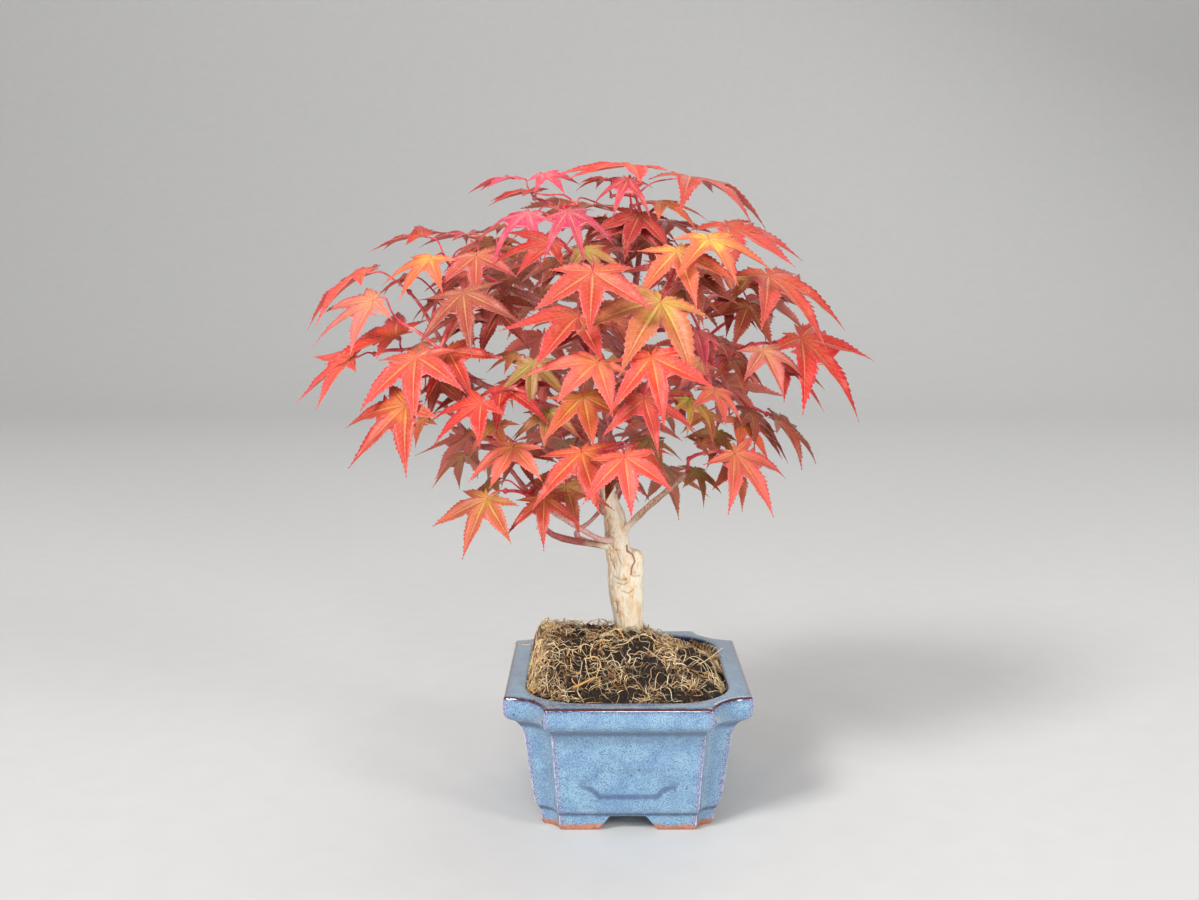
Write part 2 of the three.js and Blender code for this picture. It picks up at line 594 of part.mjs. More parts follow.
// A stalk prefers a knot that lies behind its leaf, but counts the distance to it more
const NEARNESS_WEIGHT = 1.6;

function stalkCost({ base, along }) {
  return (other) => {
    const way = other.clone().sub(base);
    return NEARNESS_WEIGHT * way.length() + way.dot(along);
  };
}

// Twigs grow from node to nearest earlier node, and each leaf's stalk from the knot that suits it
function sprayBody(spray, isFar) {
  const put = (place) => isFar ? turnedPlace(place) : place;
  const nodes = spray.nodes.map((node) => put(at(...node)));
  const bodies = nodes.map(knot);
  nodes.slice(1).forEach((node, step) => {
    const from = nearest(node, nodes.slice(0, step + 1));
    bodies.push(stem([{ at: seat(from, node), radius: TWIG_RADIUS }, { at: seat(node, from), radius: TWIG_RADIUS }], 3));
  });
  for (const row of spray.leaves) {
    const frame = leafFrame(row);
    if (isFar) {
      frame.base = turnedPlace(frame.base);
      frame.along = turnedDirection(frame.along);
      frame.normal = turnedDirection(frame.normal);
      frame.length *= FAR_SIZE;
    }
    const foot = seat(nearest(frame.base, nodes, stalkCost(frame)), frame.base);
    bodies.push(leafBody(frame, row.droop, foot));
  }
  return fused(bodies);
}

function stations(rows, put = (place) => place) {
  return rows.map(([column, row, depth, radius]) => ({ at: put(at(column, row, depth)), radius }));
}

const KNOT_GAP = 1.5 * CLEARANCE;

function branchSides(radius) {
  if (radius > 3) return 6;
  return radius > 2 ? 4 : 3;
}

// A branch ends square to its spray's first knot, just clear of the knot's furthest corner on that side
function branchBody(path, firstKnot) {
  const end = path.at(-1);
  const way = end.at.clone().sub(firstKnot).normalize();
  const furthest = KNOT_RADIUS * Math.max(...way.toArray().map(Math.abs));
  end.at = seat(firstKnot, end.at, furthest + KNOT_GAP);
  return stem(path, branchSides(path[0].radius));
}

// The trunk with its branches is one piece of wood. On the far side a branch starts at the nearest of the trunk's
// stations that is lower than the branch's next one by its least climb.
const LEAST_CLIMB = 5;

function woodBody() {
  const core = [...TRUNK, ...SPRAYS.top.branch].map(([column, row, depth]) => at(column, row, depth));
  const bodies = [stem(stations(TRUNK), 9), stem(stations(STUB), 7)];
  for (const { branch, nodes, far } of Object.values(SPRAYS)) {
    const firstKnot = at(...nodes[0]);
    bodies.push(branchBody(stations(branch), firstKnot));
    if (far) {
      const path = stations(branch, turnedPlace);
      path[0].at = nearest(path[1].at, core.filter((place) => place.z < path[1].at.z - LEAST_CLIMB));
      bodies.push(branchBody(path, turnedPlace(firstKnot)));
    }
  }
  return fused(bodies);
}

// Each finish is a colour, its roughness and its metalness
const FINISH = {
  glaze: { color: 0x6fa3cc, roughness: 0.25, metalness: 0 },
  plastic: { color: 0x222222, roughness: 0.6, metalness: 0 },
  soil: { color: 0x3a2a1c, roughness: 0.95, metalness: 0 },
  bark: { color: 0xd9c49c, roughness: 0.8, metalness: 0 },
  leaf: { color: 0xe0483c, roughness: 0.55, metalness: 0 },
};

const tree = new THREE.Group();

function addPiece(name, geometry, finish) {
  const mesh = new THREE.Mesh(geometry, new THREE.MeshStandardMaterial(FINISH[finish]));
  mesh.name = name;
  tree.add(mesh);
}

addPiece("pot", geometryOf(potBody()), "glaze");
addPiece("drainage_mesh_front", geometryOf(meshSquare(-1)), "plastic");
addPiece("drainage_mesh_back", geometryOf(meshSquare(1)), "plastic");
addPiece("soil", geometryOf(soilBody(at(...TRUNK[0]))), "soil");
addPiece("trunk", geometryOf(woodBody()), "bark");
for (const [name, spray] of Object.entries(SPRAYS)) {
  addPiece(`spray_${name}`, geometryOf(sprayBody(spray, false)), "leaf");
  if (spray.far) addPiece(`spray_far_${name}`, geometryOf(sprayBody(spray, true)), "leaf");
}

const reach = new THREE.Box3().setFromObject(tree);
tree.position.set(-(reach.min.x + reach.max.x) / 2, -(reach.min.y + reach.max.y) / 2, -reach.min.z);

export default tree;
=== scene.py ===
# %% [markdown]
# # A deshojo maple bonsai
# A small Japanese maple in its red spring leaf stands on a mound of matted roots, in a blue glazed pot. The
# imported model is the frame: it holds the pot, two squares of drainage mesh, the soil, the wood, and a thin
# solid for every spray of leaves. Each step here gives one of them its real surface. Everything is in
# metres, +Z is up, and the tree's front looks towards -Y.

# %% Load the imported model
import math

import bpy
import numpy as np
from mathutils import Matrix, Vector, noise


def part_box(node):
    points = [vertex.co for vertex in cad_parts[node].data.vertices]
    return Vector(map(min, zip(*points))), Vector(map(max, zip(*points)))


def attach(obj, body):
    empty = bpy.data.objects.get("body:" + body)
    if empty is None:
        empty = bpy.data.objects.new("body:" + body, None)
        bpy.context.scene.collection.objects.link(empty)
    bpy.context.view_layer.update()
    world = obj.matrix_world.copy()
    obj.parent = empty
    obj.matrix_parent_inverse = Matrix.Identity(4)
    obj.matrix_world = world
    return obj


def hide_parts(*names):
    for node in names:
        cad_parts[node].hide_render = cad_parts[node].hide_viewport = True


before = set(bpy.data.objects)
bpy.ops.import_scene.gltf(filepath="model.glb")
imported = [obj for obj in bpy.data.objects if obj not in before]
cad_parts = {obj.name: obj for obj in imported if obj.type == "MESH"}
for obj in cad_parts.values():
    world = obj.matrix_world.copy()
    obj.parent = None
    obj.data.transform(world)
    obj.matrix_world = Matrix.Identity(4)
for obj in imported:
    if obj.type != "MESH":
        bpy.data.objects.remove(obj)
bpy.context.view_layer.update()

# %% [markdown]
# ## Where things are
# The pot's middle is the zero point for every size below, and sizes are in millimetres. Each finished mesh
# is moved to the frame and scaled to metres in one place. The places on the tree were read from the
# photograph: a column, a row, and a depth behind the pot's middle. A camera ray turns them into points.

# %% From millimetres about the pot to the frame
MM = 0.001
pot_low, pot_high = (Vector(corner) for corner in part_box("pot"))
HOME = np.array([(pot_low.x + pot_high.x) / 2, (pot_low.y + pot_high.y) / 2, 0.0])


def to_frame(points):
    return np.asarray(points, float) * MM + HOME


# %% The photograph's point of view
EYE = np.array([-13.7, -749.0, 272.4])
PITCH = math.radians(7.26)
FOCAL = 1500.0
MIDDLE_COLUMN = 600.0
MIDDLE_ROW = 450.0
RIGHT = np.array([1.0, 0.0, 0.0])
TO_VIEWER = np.array([0.0, -math.cos(PITCH), math.sin(PITCH)])
VIEW_UP = np.array([0.0, math.sin(PITCH), math.cos(PITCH)])


def at(column, row, depth):
    ray = RIGHT * (column - MIDDLE_COLUMN) / FOCAL + VIEW_UP * (MIDDLE_ROW - row) / FOCAL - TO_VIEWER
    return EYE + ray * ((depth - EYE[1]) / ray[1])


def unit(vector):
    return vector / max(np.linalg.norm(vector), 1e-9)


def smooth(share):
    held = np.clip(share, 0.0, 1.0)
    return held * held * (3 - 2 * held)

# %% [markdown]
# ## Helpers that several pieces share
# A mesh is written in one go from its points and faces. A stem is a tube that follows a curve: rings of
# points are set square to the curve, and each ring is turned as little as possible from the one before, so
# that the tube doesn't twist.

# %% Make an object from points and faces


def make_piece(name, points, faces):
    mesh = bpy.data.meshes.new(name)
    mesh.from_pydata(to_frame(points).tolist(), [], faces)
    mesh.update()
    piece = bpy.data.objects.new(name, mesh)
    bpy.context.scene.collection.objects.link(piece)
    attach(piece, "root")
    return piece


def select_only(piece):
    bpy.ops.object.select_all(action="DESELECT")
    piece.select_set(True)
    bpy.context.view_layer.objects.active = piece


def store(piece, name, values, kind="FLOAT"):
    """Keeps one value for each vertex under a name that the materials read."""
    attribute = piece.data.attributes.new(name, kind, "POINT")
    field = "color" if kind == "FLOAT_COLOR" else "value"
    attribute.data.foreach_set(field, np.asarray(values, np.float32).ravel())


# %% Make tubes


def curve_through(places, per_span=6):
    """Points along a smooth curve through the given rows of numbers, such as x, y, z and radius."""
    rows = np.asarray(places, float)
    ends = np.vstack([2 * rows[0] - rows[1], rows, 2 * rows[-1] - rows[-2]])
    out = []
    for span in range(len(rows) - 1):
        a, b, c, d = ends[span:span + 4]
        for step in range(per_span):
            t = step / per_span
            out.append(0.5 * (2 * b + (c - a) * t + (2 * a - 5 * b + 4 * c - d) * t * t
                              + (3 * b - a - 3 * c + d) * t ** 3))
    out.append(rows[-1])
    return np.array(out)


def tube(path, radii, sides):
    """Points and faces of a closed tube along a path."""
    path = np.asarray(path, float)
    count = len(path)
    across = np.array([0.31, 0.87, 0.38])
    angles = np.arange(sides) * 2 * math.pi / sides
    points = []
    for step in range(count):
        along = unit(path[min(step + 1, count - 1)] - path[max(step - 1, 0)])
        across = unit(across - along * (across @ along))
        aside = np.cross(along, across)
        ring = np.outer(np.cos(angles), across) + np.outer(np.sin(angles), aside)
        points.append(path[step] + ring * radii[step])
    faces = []
    for step in range(count - 1):
        for side in range(sides):
            near, far = step * sides + side, step * sides + (side + 1) % sides
            faces.append((near, far, far + sides, near + sides))
    faces.append(tuple(reversed(range(sides))))
    faces.append(tuple(range((count - 1) * sides, count * sides)))
    return np.vstack(points), faces


class Gathered:
    """Collects the parts of one mesh, with the attributes of their points."""

    def __init__(self):
        self.points, self.faces, self.marks, self.slots, self.corners, self.count = [], [], [], [], [], 0

    def add(self, points, faces, mark, slot=0, corner_places=None):
        """mark is a row of numbers for every point, or one for all of them."""
        self.points.append(points)
        self.faces += [tuple(corner + self.count for corner in face) for face in faces]
        self.marks.append(np.broadcast_to(mark, (len(points), np.shape(mark)[-1])))
        self.slots += [slot] * len(faces)
        if corner_places is None:
            corner_places = np.full((sum(len(face) for face in faces), 2), 0.5)
        self.corners.append(corner_places)
        self.count += len(points)

    def piece(self, name):
        made = make_piece(name, np.vstack(self.points), self.faces)
        lobe_map = made.data.uv_layers.new(name="lobe")
        lobe_map.data.foreach_set("uv", np.vstack(self.corners).astype(np.float32).ravel())
        made.data.polygons.foreach_set("material_index", self.slots)
        made.data.polygons.foreach_set("use_smooth", [True] * len(self.faces))
        return made, np.vstack(self.marks)

# %% [markdown]
# ## Shader building blocks
# Each effect that more than one finish uses is a node group. *Mottling* mixes two colours in soft clouds
# and *specks* scatters small spots, and both work on object coordinates, so they stay put on the piece.
# Mapping inside the group turns metres into millimetres.

# %% Node helpers


def link(tree, source, target):
    tree.links.new(source, target)


def fill(tree, node, values):
    """Sets a node's inputs by name or number: sockets are linked and anything else becomes the default."""
    for key, value in values.items():
        if isinstance(value, bpy.types.NodeSocket):
            link(tree, value, node.inputs[key])
        else:
            node.inputs[key].default_value = value


def add_node(tree, kind, values=None, **settings):
    node = tree.nodes.new(kind)
    for name, value in settings.items():
        setattr(node, name, value)
    fill(tree, node, values or {})
    return node


def mixed(tree, share, first, second, blend="MIX"):
    node = add_node(tree, "ShaderNodeMix", data_type="RGBA", blend_type=blend, clamp_factor=True)
    fill(tree, node, {0: share, 6: first, 7: second})
    return node.outputs[2]


def maths(tree, operation, first, second=0.0):
    return add_node(tree, "ShaderNodeMath", {0: first, 1: second}, operation=operation).outputs[0]


def times(tree, first, second):
    return maths(tree, "MULTIPLY", first, second)


def plus(tree, first, second):
    return maths(tree, "ADD", first, second)


def distance_from(tree, value, middle):
    return maths(tree, "ABSOLUTE", maths(tree, "SUBTRACT", value, middle))


def ranged(tree, value, low, high, to_low=0.0, to_high=1.0):
    node = add_node(tree, "ShaderNodeMapRange", interpolation_type="SMOOTHSTEP")
    fill(tree, node, {0: value, 1: low, 2: high, 3: to_low, 4: to_high})
    return node.outputs[0]


def millimetres(tree, stretch=(1.0, 1.0, 1.0)):
    place = add_node(tree, "ShaderNodeTexCoord")
    mapping = add_node(tree, "ShaderNodeMapping", {"Vector": place.outputs["Object"]})
    mapping.inputs["Scale"].default_value = tuple(1000.0 * share for share in stretch)
    return mapping.outputs[0]


def cloud(tree, place, scale, detail=3.0, roughness=0.55, distortion=0.0):
    node = add_node(tree, "ShaderNodeTexNoise", {"Vector": place, "Scale": scale, "Detail": detail})
    fill(tree, node, {"Roughness": roughness, "Distortion": distortion})
    return node.outputs["Fac"]


def kept(tree, name):
    """A value that the mesh keeps for each point."""
    return add_node(tree, "ShaderNodeAttribute", attribute_name=name)


def tone(text):
    """A screen colour such as d83a34 as the shader's linear colour."""
    parts = [int(text[place:place + 2], 16) / 255 for place in (0, 2, 4)]
    linear = [part / 12.92 if part <= 0.04045 else ((part + 0.055) / 1.055) ** 2.4 for part in parts]
    return (*linear, 1.0)


# %% Shared shader groups


def new_group(name, inputs):
    """A group with the given inputs that puts out one colour."""
    group = bpy.data.node_groups.new(name, "ShaderNodeTree")
    for label, kind in inputs.items():
        group.interface.new_socket(label, in_out="INPUT", socket_type=kind)
    group.interface.new_socket("Color", in_out="OUTPUT", socket_type="NodeSocketColor")
    return group, add_node(group, "NodeGroupInput"), add_node(group, "NodeGroupOutput")


def build_mottling():
    group, given, out = new_group("Mottling", {
        "First": "NodeSocketColor", "Second": "NodeSocketColor", "Per millimetre": "NodeSocketFloat"})
    clouds = cloud(group, millimetres(group), given.outputs["Per millimetre"], 4.0, 0.6)
    mask = ranged(group, clouds, 0.3, 0.7)
    link(group, mixed(group, mask, given.outputs["First"], given.outputs["Second"]), out.inputs["Color"])
    return group


def build_specks():
    group, given, out = new_group("Specks", {
        "Color": "NodeSocketColor", "Speck": "NodeSocketColor", "Per millimetre": "NodeSocketFloat",
        "Size": "NodeSocketFloat", "Share": "NodeSocketFloat"})
    cells = add_node(group, "ShaderNodeTexVoronoi", {"Vector": millimetres(group)})
    link(group, given.outputs["Per millimetre"], cells.inputs["Scale"])
    spot = ranged(group, cells.outputs["Distance"], given.outputs["Size"], 0.0)
    parts = add_node(group, "ShaderNodeSeparateColor", {0: cells.outputs["Color"]})
    chosen = maths(group, "LESS_THAN", parts.outputs[0], given.outputs["Share"])
    mask = times(group, spot, chosen)
    link(group, mixed(group, mask, given.outputs["Color"], given.outputs["Speck"]), out.inputs["Color"])
    return group


MOTTLING = build_mottling()
SPECKS = build_specks()


def mottled(tree, first, second, per_millimetre):
    node = add_node(tree, "ShaderNodeGroup", node_tree=MOTTLING)
    fill(tree, node, {"First": first, "Second": second, "Per millimetre": per_millimetre})
    return node.outputs["Color"]


def specked(tree, colour, speck, per_millimetre, size, share):
    node = add_node(tree, "ShaderNodeGroup", node_tree=SPECKS)
    fill(tree, node, {"Color": colour, "Speck": speck, "Per millimetre": per_millimetre})
    fill(tree, node, {"Size": size, "Share": share})
    return node.outputs["Color"]


def new_finish(name, roughness=0.5):
    material = bpy.data.materials.new(name)
    material.use_nodes = True
    tree = material.node_tree
    shader = tree.nodes["Principled BSDF"]
    shader.inputs["Roughness"].default_value = roughness
    return material, tree, shader


def bump(tree, shader, height, distance, strength=1.0):
    values = {"Height": height, "Distance": distance * MM, "Strength": strength}
    link(tree, add_node(tree, "ShaderNodeBump", values).outputs[0], shader.inputs["Normal"])


print("shared groups", MOTTLING.name, SPECKS.name)

# %% [markdown]
# ## The places of the branches and leaves
# Each spray is listed as it was read from the photograph. A branch is a row of places with a radius, its
# nodes are the knots that twigs and stalks join at, and each leaf gives the place of its base, the
# direction of its middle lobe in degrees, that lobe's length in the picture, how much of its face shows,
# and the name of its colour. A spray marked far is repeated on the far half of the crown.

# %% Places read from the photograph


def leaf(column, row, depth, heading, reach, show, tint, droop=0.14):
    return {"column": column, "row": row, "depth": depth, "heading": heading, "reach": reach, "show": show,
            "tint": tint, "droop": droop}


SPRAYS = {
    "left_high": {
        "branch": [(608, 430, 8, 2.2), (560, 410, 4, 2), (510, 395, 0, 1.8), (475, 380, -3, 1.6),
            (457, 362, -5, 1.4), (440, 338, -8, 1.2)],
        "nodes": [(432, 324, -8), (410, 292, -6), (438, 296, -9), (452, 268, -4)],
        "leaves": [leaf(423, 236, 10, 175, 50, 0.14, "flame"), leaf(365, 275, -5, 203, 81, 0.26, "coral"),
            leaf(409, 277, -17, 185, 34, 0.35, "crimson"), leaf(431, 259, -25, 230, 50, 0.6, "amber"),
            leaf(468, 235, 15, 175, 45, 0.16, "rose"), leaf(477, 256, -27, 275, 45, 0.55, "salmon")],
    },
    "left_low": {
        "branch": [(457, 362, -5, 1.4), (440, 354, -12, 1.2)],
        "nodes": [(430, 350, -14), (402, 350, -12), (375, 354, -13)],
        "leaves": [leaf(397, 336, -13, 175, 69, 0.22, "flame"), leaf(352, 359, -15, 211, 74, 0.42, "coral"),
            leaf(412, 390, -10, 200, 34, 0.35, "crimson")],
    },
    "left_front": {
        "far": True,
        "branch": [(475, 380, -3, 1.5), (455, 382, -22, 1.3), (438, 378, -38, 1.1)],
        "nodes": [(432, 375, -42), (416, 380, -48), (440, 350, -42), (400, 322, -36), (456, 318, -42)],
        "leaves": [leaf(417, 357, -50, 265, 64, 0.7, "coral"), leaf(449, 351, -42, 300, 53, 0.5, "flame"),
            leaf(407, 405, -63, 224, 86, 0.75, "ember"), leaf(374, 301, -35, 211, 77, 0.6, "peach"),
            leaf(464, 293, -45, 278, 60, 0.75, "dusk")],
    },
    "left_under": {
        "branch": [(606, 512, 8, 2.4), (592, 490, 2, 2.1), (580, 470, -4, 1.9), (545, 450, -10, 1.7),
            (500, 447, -16, 1.5), (480, 446, -20, 1.4), (462, 427, -26, 1.2)],
        "nodes": [(455, 417, -28), (446, 406, -30), (430, 400, -32)],
        "leaves": [leaf(425, 420, -14, 225, 45, 0.5, "amber"), leaf(470, 395, -40, 170, 38, 0.4, "dusk")],
    },
    "left_inner": {
        "branch": [(625, 360, 3, 1.9), (585, 320, -3, 1.7), (540, 300, -8, 1.5), (506, 287, -11, 1.3)],
        "nodes": [(498, 283, -12), (480, 275, -12), (482, 300, -14)],
        "leaves": [leaf(512, 280, -13, 200, 35, 0.5, "rust"), leaf(500, 312, -14, 250, 50, 0.7, "crimson"),
            leaf(463, 318, -18, 235, 45, 0.6, "dusk"), leaf(468, 275, -14, 215, 45, 0.45, "crimson")],
    },
    "top_left": {
        "branch": [(637, 275, 3, 1.6), (600, 235, 0, 1.4), (568, 214, -3, 1.1)],
        "nodes": [(560, 210, -4), (535, 198, 2), (577, 204, -12)],
        "leaves": [leaf(513, 178, 13, 190, 48, 0.22, "magenta"),
            leaf(533, 192, -13, 178, 45, 0.25, "scarlet"), leaf(545, 175, -4, 320, 30, 0.4, "magenta"),
            leaf(597, 206, 14, 183, 94, 0.2, "apricot"), leaf(505, 226, -20, 200, 30, 0.35, "rust")],
    },
    "top_front": {
        "far": True,
        "branch": [(634, 300, 2, 1.6), (603, 275, -22, 1.4), (582, 260, -38, 1.1)],
        "nodes": [(575, 255, -42), (548, 236, -50), (563, 228, -46)],
        "leaves": [leaf(529, 213, -33, 216, 65, 0.5, "magenta", droop=0.5),
            leaf(568, 212, -73, 300, 56, 0.6, "magenta", droop=0.55),
            leaf(553, 244, -68, 189, 70, 0.6, "scarlet"), leaf(570, 270, -38, 205, 45, 0.5, "crimson")],
    },
    "top": {
        "branch": [(606, 484, 8, 3.7), (604, 455, 8, 3.4), (607, 430, 7, 3.2), (622, 385, 4, 2.6),
            (634, 300, 2, 1.8), (643, 229, 5, 1.2)],
        "nodes": [(643, 221, 5), (636, 196, 4), (664, 203, -8), (612, 196, 4), (632, 206, -16)],
        "leaves": [leaf(633, 166, -10, 194, 66, 0.18, "flame"),
            leaf(628, 180, -25, 249, 45, 0.5, "rose", droop=0.45),
            leaf(607, 180, 5, 185, 32, 0.3, "scarlet"), leaf(661, 203, -15, 331, 45, 0.4, "amber"),
            leaf(690, 177, 10, 338, 88, 0.14, "coral", droop=0.3),
            leaf(640, 215, -14, 250, 45, 0.6, "crimson"), leaf(618, 246, -15, 182, 60, 0.4, "crimson")],
    },
    "right_high": {
        "branch": [(630, 335, 2, 1.8), (670, 320, -8, 1.6), (705, 300, -16, 1.4), (733, 291, -19, 1.2)],
        "nodes": [(741, 287, -20), (730, 256, -14), (756, 282, -24), (715, 280, -6)],
        "leaves": [leaf(728, 226, -10, 325, 80, 0.45, "coral"), leaf(769, 276, -30, 315, 91, 0.5, "coral"),
            leaf(748, 280, -18, 300, 40, 0.6, "ochre"), leaf(720, 272, -3, 305, 34, 0.5, "peach"),
            leaf(748, 306, -15, 250, 45, 0.5, "rust")],
    },
    "right_front": {
        "far": True,
        "branch": [(632, 320, 2, 1.6), (662, 294, -22, 1.4), (682, 280, -36, 1.1)],
        "nodes": [(688, 275, -40), (697, 255, -48), (678, 264, -52), (668, 288, -62)],
        "leaves": [leaf(709, 239, -55, 300, 60, 0.6, "gold"), leaf(677, 251, -60, 290, 62, 0.75, "gold"),
            leaf(661, 302, -78, 240, 76, 0.7, "ochre"), leaf(690, 275, -42, 280, 50, 0.6, "dusk")],
    },
    "front_high": {
        "far": True,
        "branch": [(626, 350, 2, 1.7), (612, 338, -25, 1.5), (602, 331, -46, 1.2)],
        "nodes": [(600, 330, -51), (597, 302, -70), (592, 348, -68), (590, 372, -68)],
        "leaves": [leaf(593, 272, -90, 270, 70, 0.8, "coral"), leaf(579, 317, -63, 226, 67, 0.6, "coral"),
            leaf(598, 363, -82, 220, 61, 0.6, "salmon"), leaf(584, 397, -75, 285, 55, 0.7, "amber")],
    },
    "right": {
        "branch": [(612, 418, 6, 2.2), (640, 415, -6, 1.9), (672, 400, -16, 1.7), (704, 376, -24, 1.3)],
        "nodes": [(711, 369, -26), (744, 348, -26), (775, 343, -22), (716, 348, -46)],
        "leaves": [leaf(801, 338, -20, 318, 100, 0.65, "flame"), leaf(763, 351, -45, 300, 50, 0.7, "peach"),
            leaf(778, 361, -25, 320, 68, 0.4, "scarlet"), leaf(697, 333, -70, 215, 42, 0.6, "rose")],
    },
    "right_low": {
        "branch": [(704, 376, -24, 1.4), (722, 387, -20, 1.2)],
        "nodes": [(729, 391, -18), (748, 407, -8), (767, 414, -6), (728, 408, -24)],
        "leaves": [leaf(738, 420, -16, 311, 52, 0.5, "amber"), leaf(776, 420, -10, 325, 65, 0.32, "dusk"),
            leaf(758, 427, 0, 325, 50, 0.32, "dusk"), leaf(718, 432, -17, 250, 35, 0.5, "olive"),
            leaf(715, 391, -60, 284, 34, 0.5, "salmon")],
    },
    "low_right": {
        "far": True,
        "branch": [(620, 546, 9, 2.8), (626, 530, 7, 2.5), (645, 510, -5, 2.2), (665, 493, -16, 2),
            (682, 478, -22, 1.6)],
        "nodes": [(688, 471, -25), (689, 459, -26), (705, 453, -32), (722, 452, -36)],
        "leaves": [leaf(735, 454, -40, 310, 74, 0.75, "salmon"),
            leaf(733, 462, -15, 290, 48, 0.6, "ochre")],
    },
    "front": {
        "far": True,
        "branch": [(612, 420, 6, 1.9), (628, 408, -28, 1.6), (638, 401, -50, 1.2)],
        "nodes": [(640, 399, -56), (652, 378, -74), (642, 406, -74), (668, 396, -54)],
        "leaves": [leaf(652, 357, -95, 285, 69, 0.85, "flame"), leaf(645, 399, -78, 281, 53, 0.75, "coral"),
            leaf(690, 400, -60, 275, 38, 0.55, "lime", droop=0.5)],
    },
    "front_left": {
        "far": True,
        "branch": [(607, 428, 6, 1.8), (568, 396, -22, 1.5), (540, 378, -38, 1.2)],
        "nodes": [(532, 374, -42), (514, 388, -50), (494, 394, -60), (540, 402, -50)],
        "leaves": [leaf(503, 387, -44, 331, 53, 0.5, "scarlet"),
            leaf(482, 403, -75, 215, 63, 0.6, "scarlet"), leaf(534, 363, -44, 268, 50, 0.85, "lime"),
            leaf(549, 412, -45, 265, 38, 0.7, "olive")],
    },
    "low_left": {
        "far": True,
        "branch": [(613, 541, 5, 2.1), (600, 539, -4, 1.8), (583, 530, -14, 1.6), (562, 518, -26, 1.4),
            (549, 510, -33, 1.2)],
        "nodes": [(543, 505, -36), (527, 494, -38), (506, 491, -44), (536, 487, -32)],
        "leaves": [leaf(488, 499, -50, 240, 63, 0.75, "ochre"),
            leaf(497, 483, -32, 205, 40, 0.45, "olive"), leaf(545, 499, -49, 270, 43, 0.7, "ember")],
    },
    "left_middle": {
        "far": True,
        "branch": [(500, 447, -16, 1.4), (506, 440, -34, 1.1)],
        "nodes": [(507, 438, -39), (512, 442, -50)],
        "leaves": [leaf(514, 447, -60, 245, 48, 0.7, "salmon"), leaf(495, 425, -35, 235, 44, 0.55, "ochre")],
    },
    "low_front": {
        "far": True,
        "branch": [(605, 480, 8, 1.8), (601, 466, -20, 1.5), (599, 457, -38, 1.2)],
        "nodes": [(598, 454, -43), (586, 455, -52), (612, 452, -66), (632, 446, -48), (574, 474, -36)],
        "leaves": [leaf(582, 452, -60, 285, 62, 0.75, "ember"), leaf(567, 487, -35, 290, 45, 0.55, "ochre"),
            leaf(625, 457, -80, 280, 57, 0.85, "coral"), leaf(635, 448, -29, 324, 45, 0.65, "coral")],
    },
}
# Small leaves inside the crown. The photograph shows such leaves, but not where each one joins.
EXTRA_LEAVES = {
    "top": [leaf(631, 225, -14, 262, 40, 0.5, "crimson"), leaf(650, 240, 2, 285, 44, 0.5, "dusk"),
        leaf(668, 222, 6, 330, 40, 0.35, "crimson"), leaf(612, 222, 4, 215, 40, 0.4, "rust")],
    "top_front": [leaf(585, 250, -38, 300, 38, 0.45, "olive"), leaf(560, 262, -36, 240, 36, 0.5, "dusk")],
    "right_high": [leaf(738, 275, -10, 340, 38, 0.35, "salmon"),
        leaf(728, 300, -14, 270, 34, 0.5, "crimson")],
    "right_front": [leaf(665, 268, -40, 230, 36, 0.5, "crimson"), leaf(702, 268, -38, 320, 38, 0.4, "rust"),
        leaf(685, 292, -36, 300, 36, 0.5, "ochre")],
    "front_high": [leaf(612, 318, -48, 300, 40, 0.45, "rust"),
        leaf(585, 335, -50, 205, 38, 0.45, "crimson")],
    "right": [leaf(722, 345, -30, 330, 40, 0.4, "dusk"), leaf(700, 362, -30, 230, 36, 0.5, "peach"),
        leaf(735, 360, -22, 290, 36, 0.45, "rust")],
    "right_low": [leaf(707, 412, -26, 215, 32, 0.5, "ochre"), leaf(750, 412, -12, 290, 34, 0.5, "rust")],
    "front": [leaf(672, 392, -50, 300, 34, 0.5, "rust"), leaf(640, 385, -50, 235, 36, 0.5, "dusk")],
    "front_left": [leaf(516, 356, -38, 200, 34, 0.5, "ochre")],
    "left_high": [leaf(440, 300, -4, 200, 36, 0.4, "dusk"), leaf(455, 280, 0, 330, 36, 0.35, "rust")],
    "left_inner": [leaf(495, 300, -8, 320, 38, 0.45, "dusk"), leaf(508, 262, -8, 20, 30, 0.3, "rust")],
    "left_front": [leaf(440, 382, -38, 320, 38, 0.4, "dusk"), leaf(430, 345, -38, 190, 40, 0.3, "rust")],
    "left_middle": [leaf(520, 452, -36, 300, 34, 0.5, "dusk")],
    "low_left": [leaf(540, 480, -28, 320, 32, 0.5, "rust")],
    "low_front": [leaf(650, 440, -44, 300, 32, 0.5, "olive"), leaf(615, 470, -58, 255, 36, 0.6, "olive")],
    "low_right": [leaf(695, 470, -22, 300, 34, 0.5, "olive"), leaf(700, 445, -30, 20, 28, 0.35, "rust")],
}
print("sprays listed", len(SPRAYS))

# %% [markdown]
# ## The glazed pot
# The real pot is pressed stoneware with a blue glaze: an oblong with its corners notched inwards, a flared
# rim, and a sunk panel in each wall. A cube could be bevelled and inset into that shape, but the notch is
# deeper at the rim than at the foot, so each level needs its own outline. The wall is therefore laid as
# rings of points, as a potter would build it in coils, and the rings are closest together where the rim and
# the cove turn. Averaging each point with its neighbours then rounds the edges as a thick glaze does. The
# arches and drain holes are cut afterwards with the Boolean modifier, which is the quick way to get clean
# feet.

# %% Sizes of the pot
EXTRA_HALF_DEPTH = 15.0
